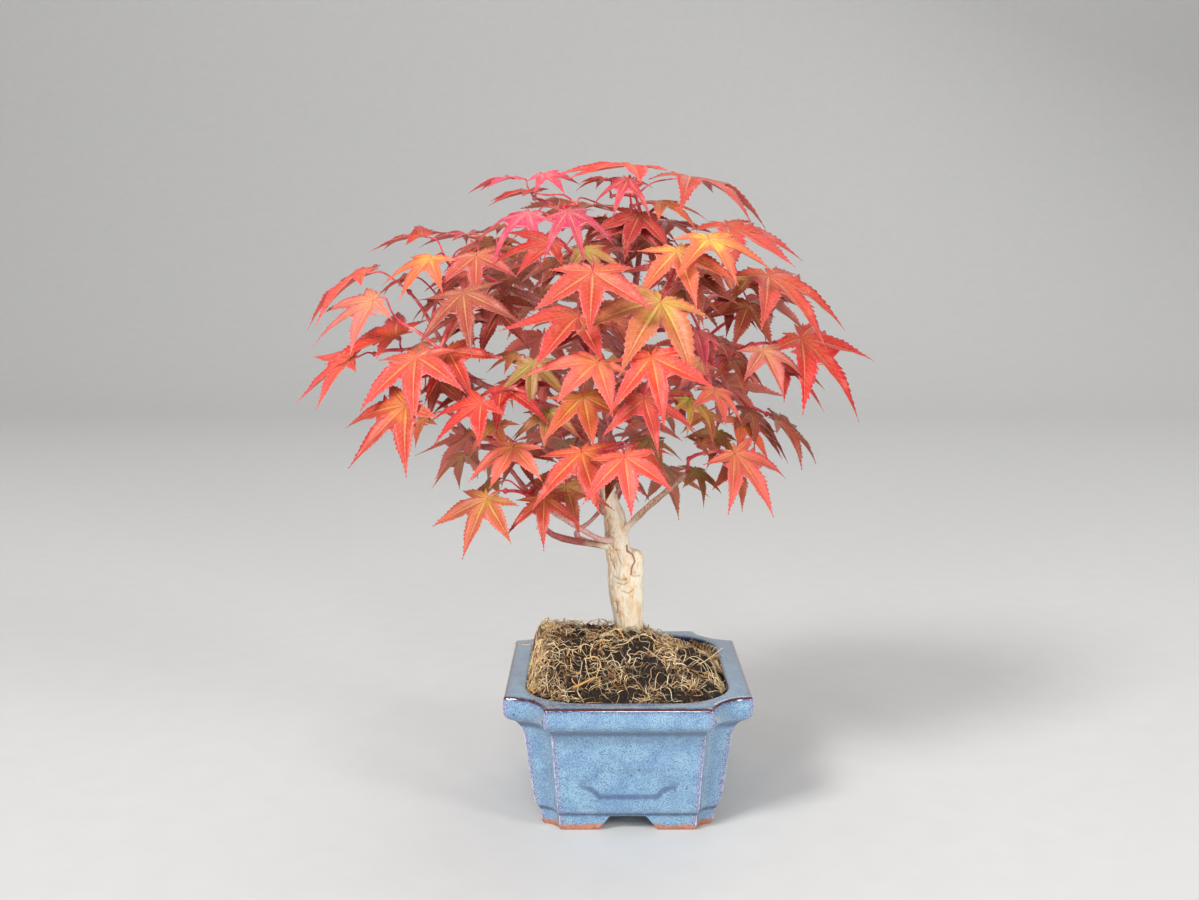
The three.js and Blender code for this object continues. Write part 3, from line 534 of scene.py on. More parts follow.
# Height, half width and notch of each level outside, and height, half width and corner radius inside.
OUTSIDE = [
    (0, 40.8, 8.2), (1.2, 41.6, 8.6), (7.8, 42.8, 9.6), (10.6, 44.9, 10.8), (16, 46.1, 11.8),
    (45.6, 50.2, 13.8), (49.8, 51.6, 15), (52.6, 54.2, 16.5), (54.2, 58, 18.8), (56.2, 59.8, 19.9),
    (59.8, 60, 20), (64.4, 59.7, 20), (65.4, 58.8, 19.6),
]
INSIDE = [(65.4, 49.4, 28), (64.4, 48.5, 28), (59.4, 47.2, 28), (50.4, 45.4, 26), (13, 40, 20)]
POT_HEIGHT = 65.4
FLOOR_TOP = 13.0
FOOT_HEIGHT = 7.4
ACROSS_STEPS = 58
ALONG_STEPS = 78
CORNER_STEPS = 16


def spread_evenly(count, crowding=0.45):
    """Steps from 0 to 1 that are closer together at both ends."""
    even = np.arange(count) / count
    return even - crowding * np.sin(2 * math.pi * even) / (2 * math.pi)


# %% Lay one ring


def pot_ring(half, turn, notched):
    """Points of one ring, from the front wall round to the right. turn is the notch's or corner's radius."""
    deep = half + EXTRA_HALF_DEPTH
    quarter = spread_evenly(CORNER_STEPS) * math.pi / 2
    ring = []
    for side in range(4):
        wide, far = (half, deep) if side % 2 == 0 else (deep, half)
        steps = spread_evenly(ACROSS_STEPS if side % 2 == 0 else ALONG_STEPS)
        straight = np.column_stack([(wide - turn) * (2 * steps - 1), np.full(len(steps), -far)])
        if notched:
            bend = np.column_stack([wide - turn * np.cos(quarter), -far + turn * np.sin(quarter)])
        else:
            centre_x, centre_y = wide - turn, turn - far
            bend = np.column_stack([centre_x + turn * np.sin(quarter), centre_y - turn * np.cos(quarter)])
        walls = np.vstack([straight, bend])
        for _ in range(side):
            walls = np.column_stack([-walls[:, 1], walls[:, 0]])
        ring.append(walls)
    return np.vstack(ring)


def finer(sections, spacing):
    """Puts sections in between, no further apart than spacing gives for their height."""
    out = []
    for first, second in zip(sections, sections[1:]):
        a, b = np.array(first, float), np.array(second, float)
        parts = max(1, math.ceil(np.linalg.norm((b - a)[:2]) / spacing((a[0] + b[0]) / 2)))
        out += [a + (b - a) * part / parts for part in range(parts)]
    return out + [np.array(sections[-1], float)]


# %% Lay the wall, round its edges and close it
outer_sections = finer(OUTSIDE, lambda height: 0.7 if height > 48 or height < 13 else 1.25)
inner_sections = finer(INSIDE, lambda height: 0.9 if height > 58 else 2.6)
LIP_RINGS = 7
outer_rings = [pot_ring(half, turn, True) for _, half, turn in outer_sections]
inner_rings = [pot_ring(half, turn, False) for _, half, turn in inner_sections]
across_lip = inner_rings[0] - outer_rings[-1]
lip_rings = [outer_rings[-1] + across_lip * (step + 1) / (LIP_RINGS + 1) for step in range(LIP_RINGS)]
flat_rings = outer_rings + lip_rings + inner_rings
levels = [section[0] for section in outer_sections] + [POT_HEIGHT] * LIP_RINGS
levels += [section[0] for section in inner_sections]
rings = [np.column_stack([ring, np.full(len(ring), level)]) for ring, level in zip(flat_rings, levels)]
rings = np.array(rings)
for _ in range(3):
    rings[1:-1] = (rings[:-2] + 2 * rings[1:-1] + rings[2:]) / 4
    rings = (np.roll(rings, 1, axis=1) + 2 * rings + np.roll(rings, -1, axis=1)) / 4
print("pot rings", rings.shape)

# %% [markdown]
# The sunk panel is a window with drawn-in ends. Cutting it out would leave a hard step, and the glaze has
# flowed over that step, so it is pressed in instead: each point near a wall's middle is moved back by how
# far inside the panel's outline it lies.

# %% Press the panels in
PANEL_BOTTOM, PANEL_TOP, PANEL_DEPTH = 17.8, 31.9, 0.75
FRONT_PANEL_HALF, SIDE_PANEL_HALF = 23.0, 38.0
NOT_IN_PANEL = -50.0
PANEL_CORNERS = [(-1, -0.12), (-0.86, -0.3), (-0.72, -0.55), (-0.6, -1)]


def panel_outline(half_width):
    middle, rise = (PANEL_BOTTOM + PANEL_TOP) / 2, (PANEL_TOP - PANEL_BOTTOM) / 2
    lower = PANEL_CORNERS + [(-across, up) for across, up in reversed(PANEL_CORNERS)]
    around = lower + [(-across, -up) for across, up in lower]
    return np.array([(across * half_width, middle + up * rise) for across, up in around])


def depth_inside(points, outline):
    """How far inside a closed outline each point is, and less than nothing outside it."""
    least = np.full(len(points), 1e9)
    crossings = np.zeros(len(points), bool)
    for start, end in zip(outline, np.roll(outline, -1, axis=0)):
        side = end - start
        share = np.clip(((points - start) @ side) / (side @ side), 0, 1)
        least = np.minimum(least, np.linalg.norm(points - start - share[:, None] * side, axis=1))
        spans = (points[:, 1] < start[1]) != (points[:, 1] < end[1])
        with np.errstate(divide="ignore", invalid="ignore"):
            meets = start[0] + (points[:, 1] - start[1]) * side[0] / side[1]
        crossings ^= spans & (points[:, 0] < meets)
    return np.where(crossings, least, -least)


def outside_at(levels, column):
    """The wall's half width (column 1) or its notch (column 2) at each height."""
    return np.interp(levels, [section[0] for section in OUTSIDE], [section[column] for section in OUTSIDE])


def press_panels(walls):
    """Moves the walls' points in where they lie inside a panel."""
    flat = walls.reshape(-1, 3)
    wall_half = outside_at(flat[:, 2], 1)
    for axis, half_width in ((1, FRONT_PANEL_HALF), (0, SIDE_PANEL_HALF)):
        reach = wall_half + (EXTRA_HALF_DEPTH if axis == 1 else 0)
        for side in (-1, 1):
            on_wall = (side * flat[:, axis] > reach - 0.9) & (side * flat[:, axis] < reach + 0.9)
            place = np.column_stack([flat[on_wall, 1 - axis], flat[on_wall, 2]])
            depth = depth_inside(place, panel_outline(half_width))
            flat[on_wall, axis] -= side * PANEL_DEPTH * smooth((depth + 0.5) / 1.7)


outer_count = len(outer_rings)
press_panels(rings[:outer_count])

# %% Make the pot's mesh
columns = rings.shape[1]
pot_faces = []
for row in range(len(rings) - 1):
    for column in range(columns):
        near, far = row * columns + column, row * columns + (column + 1) % columns
        pot_faces.append((near, far, far + columns, near + columns))
pot_faces.append(tuple(reversed(range(columns))))
pot_faces.append(tuple(range((len(rings) - 1) * columns, len(rings) * columns)))
pot = make_piece("glazed_pot", rings.reshape(-1, 3), pot_faces)
ring_number = np.repeat(np.arange(len(rings)), columns)
store(pot, "inside", smooth((ring_number - outer_count - 6) / 2.5))

# %% [markdown]
# The feet are what is left when two arches and a recess are cut from the underside. Each cutter starts as a
# cube that is added at its size and place, and its lower face is widened for the arches. The drain holes
# are cylinders.

# %% Cut the arches, the recess and the drain holes
FRONT_ARCH_HALF, FRONT_ARCH_FOOT = 8.6, 15.4
SIDE_ARCH_HALF, SIDE_ARCH_FOOT = 15, 22.3
FOOT_FLARE = 1.04
PAST_FRONT, PAST_SIDE = 90, 80
RECESS_HALF_WIDTH, RECESS_HALF_DEPTH = 30, 45
DRAIN_HOLE_RADIUS, DRAIN_HOLE_OFFSET = 7.0, 28.0


def cutter(half_width, half_depth, widen_along=None, widen=1.0):
    """A block from below the pot to the top of its feet. Its lower face is wider along one axis."""
    bpy.ops.object.select_all(action="DESELECT")
    low = np.array([-half_width, -half_depth, -2])
    high = np.array([half_width, half_depth, FOOT_HEIGHT])
    middle = (low + high) / 2
    bpy.ops.mesh.primitive_cube_add(size=1, location=to_frame(middle), scale=(high - low) * MM)
    block = bpy.context.object
    bpy.ops.object.transform_apply(location=True, rotation=True, scale=True)
    if widen_along is not None:
        centre = to_frame(middle)[widen_along]
        for vertex in block.data.vertices:
            if vertex.co.z < to_frame(middle)[2]:
                vertex.co[widen_along] = centre + (vertex.co[widen_along] - centre) * widen
    return block


def drain_hole(side):
    bpy.ops.object.select_all(action="DESELECT")
    place = to_frame((0, side * DRAIN_HOLE_OFFSET, FLOOR_TOP))
    bpy.ops.mesh.primitive_cylinder_add(
        vertices=48, radius=DRAIN_HOLE_RADIUS * MM, depth=30 * MM, location=place)
    return bpy.context.object


def cut_away(piece, tool):
    select_only(piece)
    modifier = piece.modifiers.new("cut", "BOOLEAN")
    modifier.operation = "DIFFERENCE"
    modifier.object = tool
    modifier.solver = "EXACT"
    bpy.ops.object.modifier_apply(modifier=modifier.name)
    bpy.data.objects.remove(tool)


cut_away(pot, cutter(FRONT_ARCH_HALF, PAST_FRONT, 0, FRONT_ARCH_FOOT / FRONT_ARCH_HALF * FOOT_FLARE))
cut_away(pot, cutter(PAST_SIDE, SIDE_ARCH_HALF, 1, SIDE_ARCH_FOOT / SIDE_ARCH_HALF * FOOT_FLARE))
cut_away(pot, cutter(RECESS_HALF_WIDTH, RECESS_HALF_DEPTH))
cut_away(pot, drain_hole(-1))
cut_away(pot, drain_hole(1))
print("pot triangles", sum(len(face.vertices) - 2 for face in pot.data.polygons))

# %% [markdown]
# A glaze runs thin over edges and pools in hollows, and that decides its colour. Each point keeps its
# distance in millimetres from the notches' edges, from the panel's outline and from the rim's outer edge,
# so that the material can follow the shape on any wall.

# %% Keep what the glaze follows
corners = (np.array([vertex.co for vertex in pot.data.vertices]) - HOME) / MM
wall_half, wall_notch = outside_at(corners[:, 2], 1), outside_at(corners[:, 2], 2)
wall_deep = wall_half + EXTRA_HALF_DEPTH
ax, ay = np.abs(corners[:, 0]), np.abs(corners[:, 1])
to_edge = np.minimum(np.hypot(ax - wall_half + wall_notch, ay - wall_deep),
                     np.hypot(ax - wall_half, ay - wall_deep + wall_notch))
panel_depth = np.full(len(corners), NOT_IN_PANEL)
for axis, half_width in ((1, FRONT_PANEL_HALF), (0, SIDE_PANEL_HALF)):
    reach = wall_half + (EXTRA_HALF_DEPTH if axis == 1 else 0)
    near_wall = np.abs(np.abs(corners[:, axis]) - reach) < 1.6
    spot = np.column_stack([corners[near_wall, 1 - axis], corners[near_wall, 2]])
    depth = depth_inside(spot, panel_outline(half_width))
    panel_depth[near_wall] = np.maximum(panel_depth[near_wall], depth)
from_rim = depth_inside(corners[:, :2], pot_ring(59.8, 19.9, True)[::4])
store(pot, "edge_distance", to_edge)
store(pot, "panel_distance", panel_depth)
store(pot, "rim_distance", np.hypot(from_rim - 0.5, corners[:, 2] - POT_HEIGHT + 0.4))
store(pot, "height", corners[:, 2])
select_only(pot)
bpy.ops.object.shade_smooth_by_angle(angle=math.radians(50))
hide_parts("pot")

# %% [markdown]
# ## The glaze
# The photograph shows a light blue ground with darker clouds, thousands of fine dark specks, lilac shadows
# beside the notched corners, a pale line where the glaze has run off their edges, a brown line round the
# rim, and bare clay below the feet's glaze line. One Principled shader carries it all: the colour is
# painted from the kept values, and the smooth glass comes from a low roughness with a full coat.

# %% Mix the glaze
COVE_HEIGHT = 51.6
GLAZE_FOOT = 8.4


def glaze_finish():
    material, tree, shader = new_finish("blue glaze", 0.16)
    place = millimetres(tree)
    height, inside = (kept(tree, name).outputs["Fac"] for name in ("height", "inside"))
    to_edge, in_panel, to_rim = (
        kept(tree, name).outputs["Fac"] for name in ("edge_distance", "panel_distance", "rim_distance"))
    fine = cloud(tree, place, 1.7, 5.0, 0.75)
    pale = cloud(tree, place, 1.2, 5.0, 0.7)
    broad = cloud(tree, place, 0.35, 3.0)
    ground = mottled(tree, tone("86adc4"), tone("6b90b2"), 0.1)
    ground = mixed(tree, ranged(tree, fine, 0.49, 0.59, 0.0, 0.95), ground, tone("42628c"))
    ground = mixed(tree, ranged(tree, pale, 0.54, 0.7, 0.0, 0.65), ground, tone("b6cedc"))
    speckled = specked(tree, ground, tone("2c4a7a"), 1.6, 0.42, 0.5)
    lilac = mixed(tree, ranged(tree, fine, 0.42, 0.58), tone("a0a6c8"), tone("474a74"))
    band = ranged(tree, plus(tree, to_edge, times(tree, broad, 3.0)), 5.2, 2.6, 0.0, 0.85)
    colour = mixed(tree, band, speckled, lilac)
    run_off = ranged(tree, plus(tree, to_edge, times(tree, broad, 0.9)), 1.2, 0.8, 0.0, 0.85)
    colour = mixed(tree, run_off, colour, tone("e3dbe2"))
    # Painted shade: the cove under the rim is darkened to a deep blue, as the rim shades it.
    cove_shade = ranged(tree, distance_from(tree, height, COVE_HEIGHT), 2.9, 0.5, 0.0, 0.85)
    colour = mixed(tree, cove_shade, colour, tone("34577f"))
    low_down = ranged(tree, height, 27.0, 22.0, 0.04, 0.75)
    off_line = distance_from(tree, in_panel, 0.3)
    pooled = times(tree, ranged(tree, plus(tree, off_line, broad), 2.7, 0.8), low_down)
    off_foot = distance_from(tree, height, GLAZE_FOOT)
    foot_line = ranged(tree, plus(tree, off_foot, times(tree, broad, 1.5)), 2.6, 0.7, 0.0, 0.9)
    colour = mixed(tree, maths(tree, "MAXIMUM", pooled, foot_line), colour, tone("28406a"))
    dots = specked(tree, colour, tone("14161c"), 0.13, 0.11, 0.8)
    # Painted shade: the pot's inner wall is painted near black navy, for the shade inside the pot.
    colour = mixed(tree, inside, dots, mixed(tree, fine, tone("0e1524"), tone("2a3850")))
    wavy = plus(tree, to_rim, times(tree, broad, 1.8))
    under_rim = times(tree, ranged(tree, wavy, 4.6, 2.4, 0.0, 0.8), ranged(tree, fine, 0.44, 0.56))
    colour = mixed(tree, under_rim, colour, tone("4b4c80"))
    colour = mixed(tree, ranged(tree, wavy, 2.3, 1.6, 0.0, 0.95), colour, tone("4e2a24"))
    bare_at = plus(tree, times(tree, cloud(tree, place, 0.08, 2.0), 5.5), 0.2)
    bare = ranged(tree, maths(tree, "SUBTRACT", height, bare_at), 0.25, -0.25)
    clay = mottled(tree, tone("bb8672"), tone("9e6854"), 0.5)
    clay = mixed(tree, ranged(tree, fine, 0.55, 0.75, 0.0, 0.5), clay, tone("7a5244"))
    link(tree, mixed(tree, bare, colour, clay), shader.inputs["Base Color"])
    link(tree, mixed(tree, bare, tone("2a2a2a"), tone("d0d0d0")), shader.inputs["Roughness"])
    link(tree, maths(tree, "SUBTRACT", 1.0, bare), shader.inputs["Coat Weight"])
    shader.inputs["Coat Roughness"].default_value = 0.05
    shader.inputs["IOR"].default_value = 1.52
    ripple = plus(tree, cloud(tree, place, 0.22, 2.0), times(tree, fine, 0.1))
    bump(tree, shader, ripple, 0.3, 0.6)
    return material


pot.data.materials.append(glaze_finish())
print("glaze nodes", len(pot.data.materials[0].node_tree.nodes))

# %% [markdown]
# ## The mound of soil
# The tree was planted high: the soil fills the mouth from side to side and stands above the rim, a little
# lower to the right, and it falls away behind the trunk. A grid is added flat, its corners are drawn in to
# the pot's mouth, and each point is lifted to the mound's height. Its border is then extruded down to the
# pot's floor and closed, so the soil is a solid body that fills the pot.

# %% Height of the mound
MOUTH_HALF = 48.5
SOIL_AT_RIM = 62.0
MOUND_HEIGHT = 20.0
LOWER_RIGHT = 8.0
LEFT_SLOPE, RIGHT_SLOPE, FRONT_SLOPE, BACK_SLOPE, BACK_HOLD = 7, 12, 50, 60, 7
HOLLOW = 10.0


def soil_top(x, y):
    side, end = MOUTH_HALF + 1, MOUTH_HALF + EXTRA_HALF_DEPTH
    uneven = 1.3 * np.sin(y * 0.33 + 1) + 0.9 * np.sin(y * 0.81)
    across = smooth((x + side + uneven - 1.2) / LEFT_SLOPE) * smooth((side - x) / RIGHT_SLOPE)
    rise = across * smooth((y + end) / FRONT_SLOPE) * smooth((end + BACK_HOLD - y) / BACK_SLOPE)
    hollow = HOLLOW * smooth((x - 2) / 34) * smooth((y + 15) / 40)
    lumps = 0.7 * np.sin(x * 0.31 + 1.3) * np.cos(y * 0.27) + 0.5 * np.sin(x * 0.13 - y * 0.19)
    return SOIL_AT_RIM + (MOUND_HEIGHT - LOWER_RIGHT * smooth(x / side)) * rise - hollow + lumps


def roughness_at(x, y):
    """Crumb on the mound, as a height for each place."""
    places = list(zip(np.ravel(x), np.ravel(y)))
    total = np.zeros(len(places))
    for height, per_millimetre, layer in ((1.5, 0.24, 3.0), (0.9, 0.62, 7.0), (0.5, 1.4, 11.0)):
        total += [height * noise.noise((a * per_millimetre, b * per_millimetre, layer)) for a, b in places]
    return total


# %% Shape the soil
SOIL_HALF = 47.4
SOIL_ROUND = 28.0


def drawn_in(x, y, half, turn):
    """Moves the corners of an oblong in to a rounded corner."""
    deep = half + EXTRA_HALF_DEPTH
    over_x = np.maximum(np.abs(x) - (half - turn), 0)
    over_y = np.maximum(np.abs(y) - (deep - turn), 0)
    longest = np.hypot(over_x, over_y)
    share = np.where(longest > 0, np.maximum(over_x, over_y) / np.maximum(longest, 1e-9), 1.0)
    inner_x, inner_y = np.minimum(np.abs(x), half - turn), np.minimum(np.abs(y), deep - turn)
    return np.sign(x) * (inner_x + over_x * share), np.sign(y) * (inner_y + over_y * share)


bpy.ops.object.select_all(action="DESELECT")
bpy.ops.mesh.primitive_grid_add(x_subdivisions=120, y_subdivisions=156, size=2)
soil = bpy.context.object
soil.name = "soil_mound"
flat = np.array([vertex.co for vertex in soil.data.vertices])
soil_deep = SOIL_HALF + EXTRA_HALF_DEPTH
soil_x, soil_y = drawn_in(flat[:, 0] * SOIL_HALF, flat[:, 1] * soil_deep, SOIL_HALF, SOIL_ROUND)
border = np.minimum(1 - np.abs(flat[:, 0]), (1 - np.abs(flat[:, 1])) * 1.32) * SOIL_HALF
soil_z = soil_top(soil_x, soil_y) + roughness_at(soil_x, soil_y) - 0.8 * np.exp(-border / 1.2)
soil_z = np.where(border < 1, np.maximum(soil_z, 59.4), soil_z)
lifted = to_frame(np.column_stack([soil_x, soil_y, soil_z]))
soil.data.vertices.foreach_set("co", lifted.ravel())


def draw_down(share_x, share_y, height):
    """Extrudes the open border, draws it in, and sets it level."""
    bpy.ops.mesh.extrude_region_move()
    bpy.ops.transform.resize(value=(share_x, share_y, 1), center_override=tuple(HOME))
    bpy.ops.transform.resize(value=(1, 1, 0), center_override=(HOME[0], HOME[1], height * MM))


select_only(soil)
bpy.ops.object.mode_set(mode="EDIT")
bpy.ops.mesh.select_mode(type="EDGE")
bpy.ops.mesh.select_all(action="DESELECT")
bpy.ops.mesh.select_non_manifold()
draw_down(0.951, 0.963, 50.0)
draw_down(0.878, 0.909, FLOOR_TOP + 1)
bpy.ops.mesh.edge_face_add()
bpy.ops.mesh.select_all(action="SELECT")
bpy.ops.mesh.normals_make_consistent(inside=False)
bpy.ops.object.mode_set(mode="OBJECT")
bpy.ops.object.shade_smooth()
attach(soil, "root")
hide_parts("soil")
print("soil faces", len(soil.data.polygons))

# %% [markdown]
# Loose crumbs make the soil read as earth. One crumb is modelled from an icosphere, and copies are turned,
# stretched and set into the mound. All of them are one mesh, and each copy has its own points.

# %% Scatter the crumbs
bpy.ops.object.select_all(action="DESELECT")
bpy.ops.mesh.primitive_ico_sphere_add(subdivisions=1, radius=1)
crumb = bpy.context.object
crumb_points = np.array([vertex.co for vertex in crumb.data.vertices])
crumb_faces = [tuple(face.vertices) for face in crumb.data.polygons]
bpy.data.objects.remove(crumb)


def turned_at_random(chance):
    axes, _ = np.linalg.qr(chance.normal(size=(3, 3)))
    return axes if np.linalg.det(axes) > 0 else -axes


def on_mound(chance, edge=1.0):
    """A place on the mound, inside the pot's mouth."""
    x, y = chance.uniform(-1, 1, 2)
    x, y = np.array([x * SOIL_HALF * edge]), np.array([y * soil_deep * edge])
    x, y = drawn_in(x, y, SOIL_HALF * edge, SOIL_ROUND)
    return float(x[0]), float(y[0])


chance = np.random.default_rng(41)
crumbs = Gathered()
for _ in range(1700):
    x, y = on_mound(chance, 0.985)
    size = chance.uniform(0.35, 1.25) * chance.uniform(0.6, 1.0)
    lumpy = crumb_points * chance.uniform(0.7, 1.25, (len(crumb_points), 1)) * chance.uniform(0.6, 1.2, 3)
    turned = lumpy @ turned_at_random(chance) * size
    level = soil_top(x, y) + roughness_at([x], [y])[0] + size * chance.uniform(-0.2, 0.6)
    crumbs.add(turned + (x, y, level), crumb_faces, (chance.uniform(),))
soil_crumbs, crumb_marks = crumbs.piece("soil_crumbs")
store(soil_crumbs, "paleness", crumb_marks[:, 0])
print("crumb faces", len(crumbs.faces))

# %% [markdown]
# ## The root mat
# Fine roots have grown over the whole mound, tan where they are old and dry and golden where they are
# young. Each root is a thin tube that wanders over the surface and now and then arches clear of it. Hair
# particles would be lost in the export, so these are real tubes with three or four sides, few enough to
# stay light.

# %% Grow the roots
TRUNK_FOOT = at(628, 640, 12)
MAT_MARGIN = 1.3


def beyond_soil(x, y):
    """How far a place lies outside the soil's border, and less than nothing inside it."""
    over_x = abs(x) - (SOIL_HALF - SOIL_ROUND)
    over_y = abs(y) - (soil_deep - SOIL_ROUND)
    if over_x > 0 and over_y > 0:
        return math.hypot(over_x, over_y) - SOIL_ROUND
    return max(over_x, over_y) - SOIL_ROUND


def wander_root(chance, x, y, heading, length, lift, stride):
    """Follows the mound from a place, with a kink at each step, and turns back at the pot's wall."""
    steps = max(3, round(length / stride))
    turn = chance.normal(0, 0.12)
    rise = chance.uniform(0.1, 1.0) ** 2 * lift
    hops = chance.uniform(0.5, 2.4)
    phase = chance.uniform(0, 2)
    reach = 3.2 if chance.uniform() < 0.07 else MAT_MARGIN
    places = []
    for step in range(steps + 1):
        share = step / steps
        arch = rise * abs(math.sin(math.pi * (hops * share + phase)))
        level = soil_top(x, y) + 0.4 + arch + chance.normal(0, 0.28)
        if beyond_soil(x, y) > -2.0:
            level = max(level, POT_HEIGHT + (0.5 if beyond_soil(x, y) > 1 else -1.5) + 0.4 * rise)
        ends_in = 1.5 * (smooth(1 - share * 6) + smooth(share * 6 - 5))
        steep = np.clip((soil_top(x + 1, y) - soil_top(x - 1, y)) / 4, -1, 1)
        places.append((x - 0.9 * steep, y, level - ends_in))
        heading += turn + chance.normal(0, 0.62)
        next_x, next_y = x + stride * math.cos(heading), y + stride * math.sin(heading)
        if beyond_soil(next_x, next_y) > reach:
            heading = math.atan2(-y, -x) + chance.normal(0, 0.9)
            next_x, next_y = x + stride * math.cos(heading), y + stride * math.sin(heading)
        if beyond_soil(next_x, next_y) <= reach:
            x, y = next_x, next_y
        else:
            x, y = x * 0.96, y * 0.96
    return places


def root_marks(points, paleness, kind):
    """A root's own paleness and kind, and how far each of its points stands clear of the soil."""
    clear = np.clip((points[:, 2] - soil_top(points[:, 0], points[:, 1]) - 0.2) / 3.2, 0, 1)
    return np.column_stack([np.full(len(points), paleness), np.full(len(points), kind), clear])


def grow_roots(seed, count, radii, lengths, lift, stride, per_span, sides, kind):
    """A mesh of roots. They grow in tufts, so that some dark soil stays bare between them."""
    chance = np.random.default_rng(seed)
    grown = Gathered()
    while count:
        x, y = on_mound(chance, 0.985)
        on_left_side = chance.uniform() < 0.15
        if on_left_side:
            x, y = chance.uniform(0.4, 6.0) - SOIL_HALF, 0.8 * y
        elif noise.noise((x * 0.065, y * 0.065, 4.0)) + chance.normal(0, 0.08) < 0.0:
            continue
        away = math.atan2(y - TRUNK_FOOT[1], x - TRUNK_FOOT[0])
        heading = away + chance.choice([0, math.pi, math.pi / 2, -math.pi / 2]) + chance.normal(0, 0.8)
        path = wander_root(chance, x, y, heading, chance.uniform(*lengths), lift, stride)
        path = curve_through(path, per_span)
        taper = chance.uniform(*radii) * (1 - 0.55 * np.linspace(0, 1, len(path)))
        points, faces = tube(path, taper, sides)
        grown.add(points, faces, root_marks(points, chance.uniform(), kind))
        count -= 1
    return grown


roots = grow_roots(seed=77, count=540, radii=(0.20, 0.40), lengths=(10, 28), lift=4.6, stride=2.2,
                   per_span=2, sides=4, kind=1.0)
fine_roots = grow_roots(seed=78, count=1500, radii=(0.13, 0.24), lengths=(6, 18), lift=5.2, stride=1.9,
                        per_span=1, sides=3, kind=0.0)
print("root faces", len(roots.faces), len(fine_roots.faces))

# %% [markdown]
# Two long strands lie over the rim, a few arch up behind, and a stiff straw lies against the mound. They
# are laid one by one, from places read in the photograph.

# %% Lay the roots that stand out
OVER_RIM = [
    [(540, 641, 22), (530, 645, 20), (520, 644, 20), (510, 643, 20)],
    [(690, 668, -24), (704, 662, -28), (714, 655, -30), (723, 648, -31)],
    [(560, 634, 20), (567, 623, 24), (578, 628, 26), (590, 622, 24), (602, 619, 22), (612, 624, 20)],
    [(538, 634, 24), (546, 625, 26), (556, 621, 28), (566, 626, 28), (574, 632, 26)],
]
STRAW = [(574, 688, -52), (580, 685, -50), (588, 681, -47), (596, 677, -44)]
chance = np.random.default_rng(79)
for places in OVER_RIM:
    path = curve_through([at(*place) for place in places], 4)
    points, faces = tube(path, 0.34 * (1 - 0.5 * np.linspace(0, 1, len(path))), 5)
    roots.add(points, faces, root_marks(points, chance.uniform(0.5, 1.0), 0.0))
path = curve_through([at(*place) for place in STRAW], 4)
points, faces = tube(path, np.linspace(0.75, 0.5, len(path)), 6)
roots.add(points, faces, root_marks(points, 0.2, 2.0))


def finish_roots(grown, name):
    piece, marks = grown.piece(name)
    store(piece, "paleness", marks[:, 0])
    store(piece, "kind", marks[:, 1])
    store(piece, "clear", marks[:, 2])
    return piece


root_mat = finish_roots(roots, "root_mat")
fine_root_mat = finish_roots(fine_roots, "fine_root_mat")

# %% [markdown]
# The soil is dark and damp with paler crumbs. The roots take a colour between brown and straw from a value
# that each one keeps. Where a root lies close to the soil it is painted as dark as the soil, a painted
# shade, and soft noise adds patches of dirt.

# %% Mix soil and root colours


def soil_finish():
    material, tree, shader = new_finish("damp soil", 0.85)
    place = millimetres(tree)
    earth = mottled(tree, tone("281b12"), tone("0e0906"), 0.45)
    earth = specked(tree, earth, tone("7c6146"), 1.1, 0.4, 0.25)
    pale = maths(tree, "POWER", kept(tree, "paleness").outputs["Fac"], 3.0)
    link(tree, mixed(tree, times(tree, pale, 0.8), earth, tone("8d6d4c")), shader.inputs["Base Color"])
    bump(tree, shader, cloud(tree, place, 1.6, 6.0, 0.7), 0.5, 0.9)
    return material


def root_finish():
    material, tree, shader = new_finish("fine roots", 0.7)
    place = millimetres(tree)
    paleness = kept(tree, "paleness").outputs["Fac"]
    kind = kept(tree, "kind").outputs["Fac"]
    colour = mixed(tree, paleness, tone("a86c32"), tone("fff0c6"))
    colour = mixed(tree, ranged(tree, paleness, 0.8, 0.95), colour, tone("f4c67e"))
    colour = mixed(tree, ranged(tree, paleness, 0.4, 0.1, 0.0, 0.85), colour, tone("6a3f1c"))
    # Painted shade: where a root lies close to the soil it is darkened towards the soil's colour.
    clear = kept(tree, "clear").outputs["Fac"]
    colour = mixed(tree, ranged(tree, clear, 0.36, 0.04, 0.0, 0.92), colour, tone("24150c"))
    colour = mixed(tree, ranged(tree, kind, 1.4, 1.6), colour, tone("d09a58"))
    dirt = ranged(tree, cloud(tree, place, 0.16, 4.0, 0.6), 0.52, 0.64, 0.0, 0.8)
    link(tree, mixed(tree, dirt, colour, tone("402a18")), shader.inputs["Base Color"])
    bump(tree, shader, cloud(tree, place, 3.0, 3.0), 0.08, 0.6)
    return material


soil.data.materials.append(soil_finish())
soil_crumbs.data.materials.append(soil.data.materials[0])
root_mat.data.materials.append(root_finish())
fine_root_mat.data.materials.append(root_mat.data.materials[0])
print("soil and root finishes made")

# %% [markdown]
# ## The trunk
# A short stout trunk forks low down: the living leader leans to the left, and on the right is the stub
# where the old top was cut off. Two tubes are laid through the measured places and fused by a voxel remesh,
# which melts the fork together as wood grows. The skin is then moved in and out by stretched noise, for the
# long shallow flutes of maple bark. A crack is pressed in where the stub meets the leader, and finer
# wrinkles run over the front.

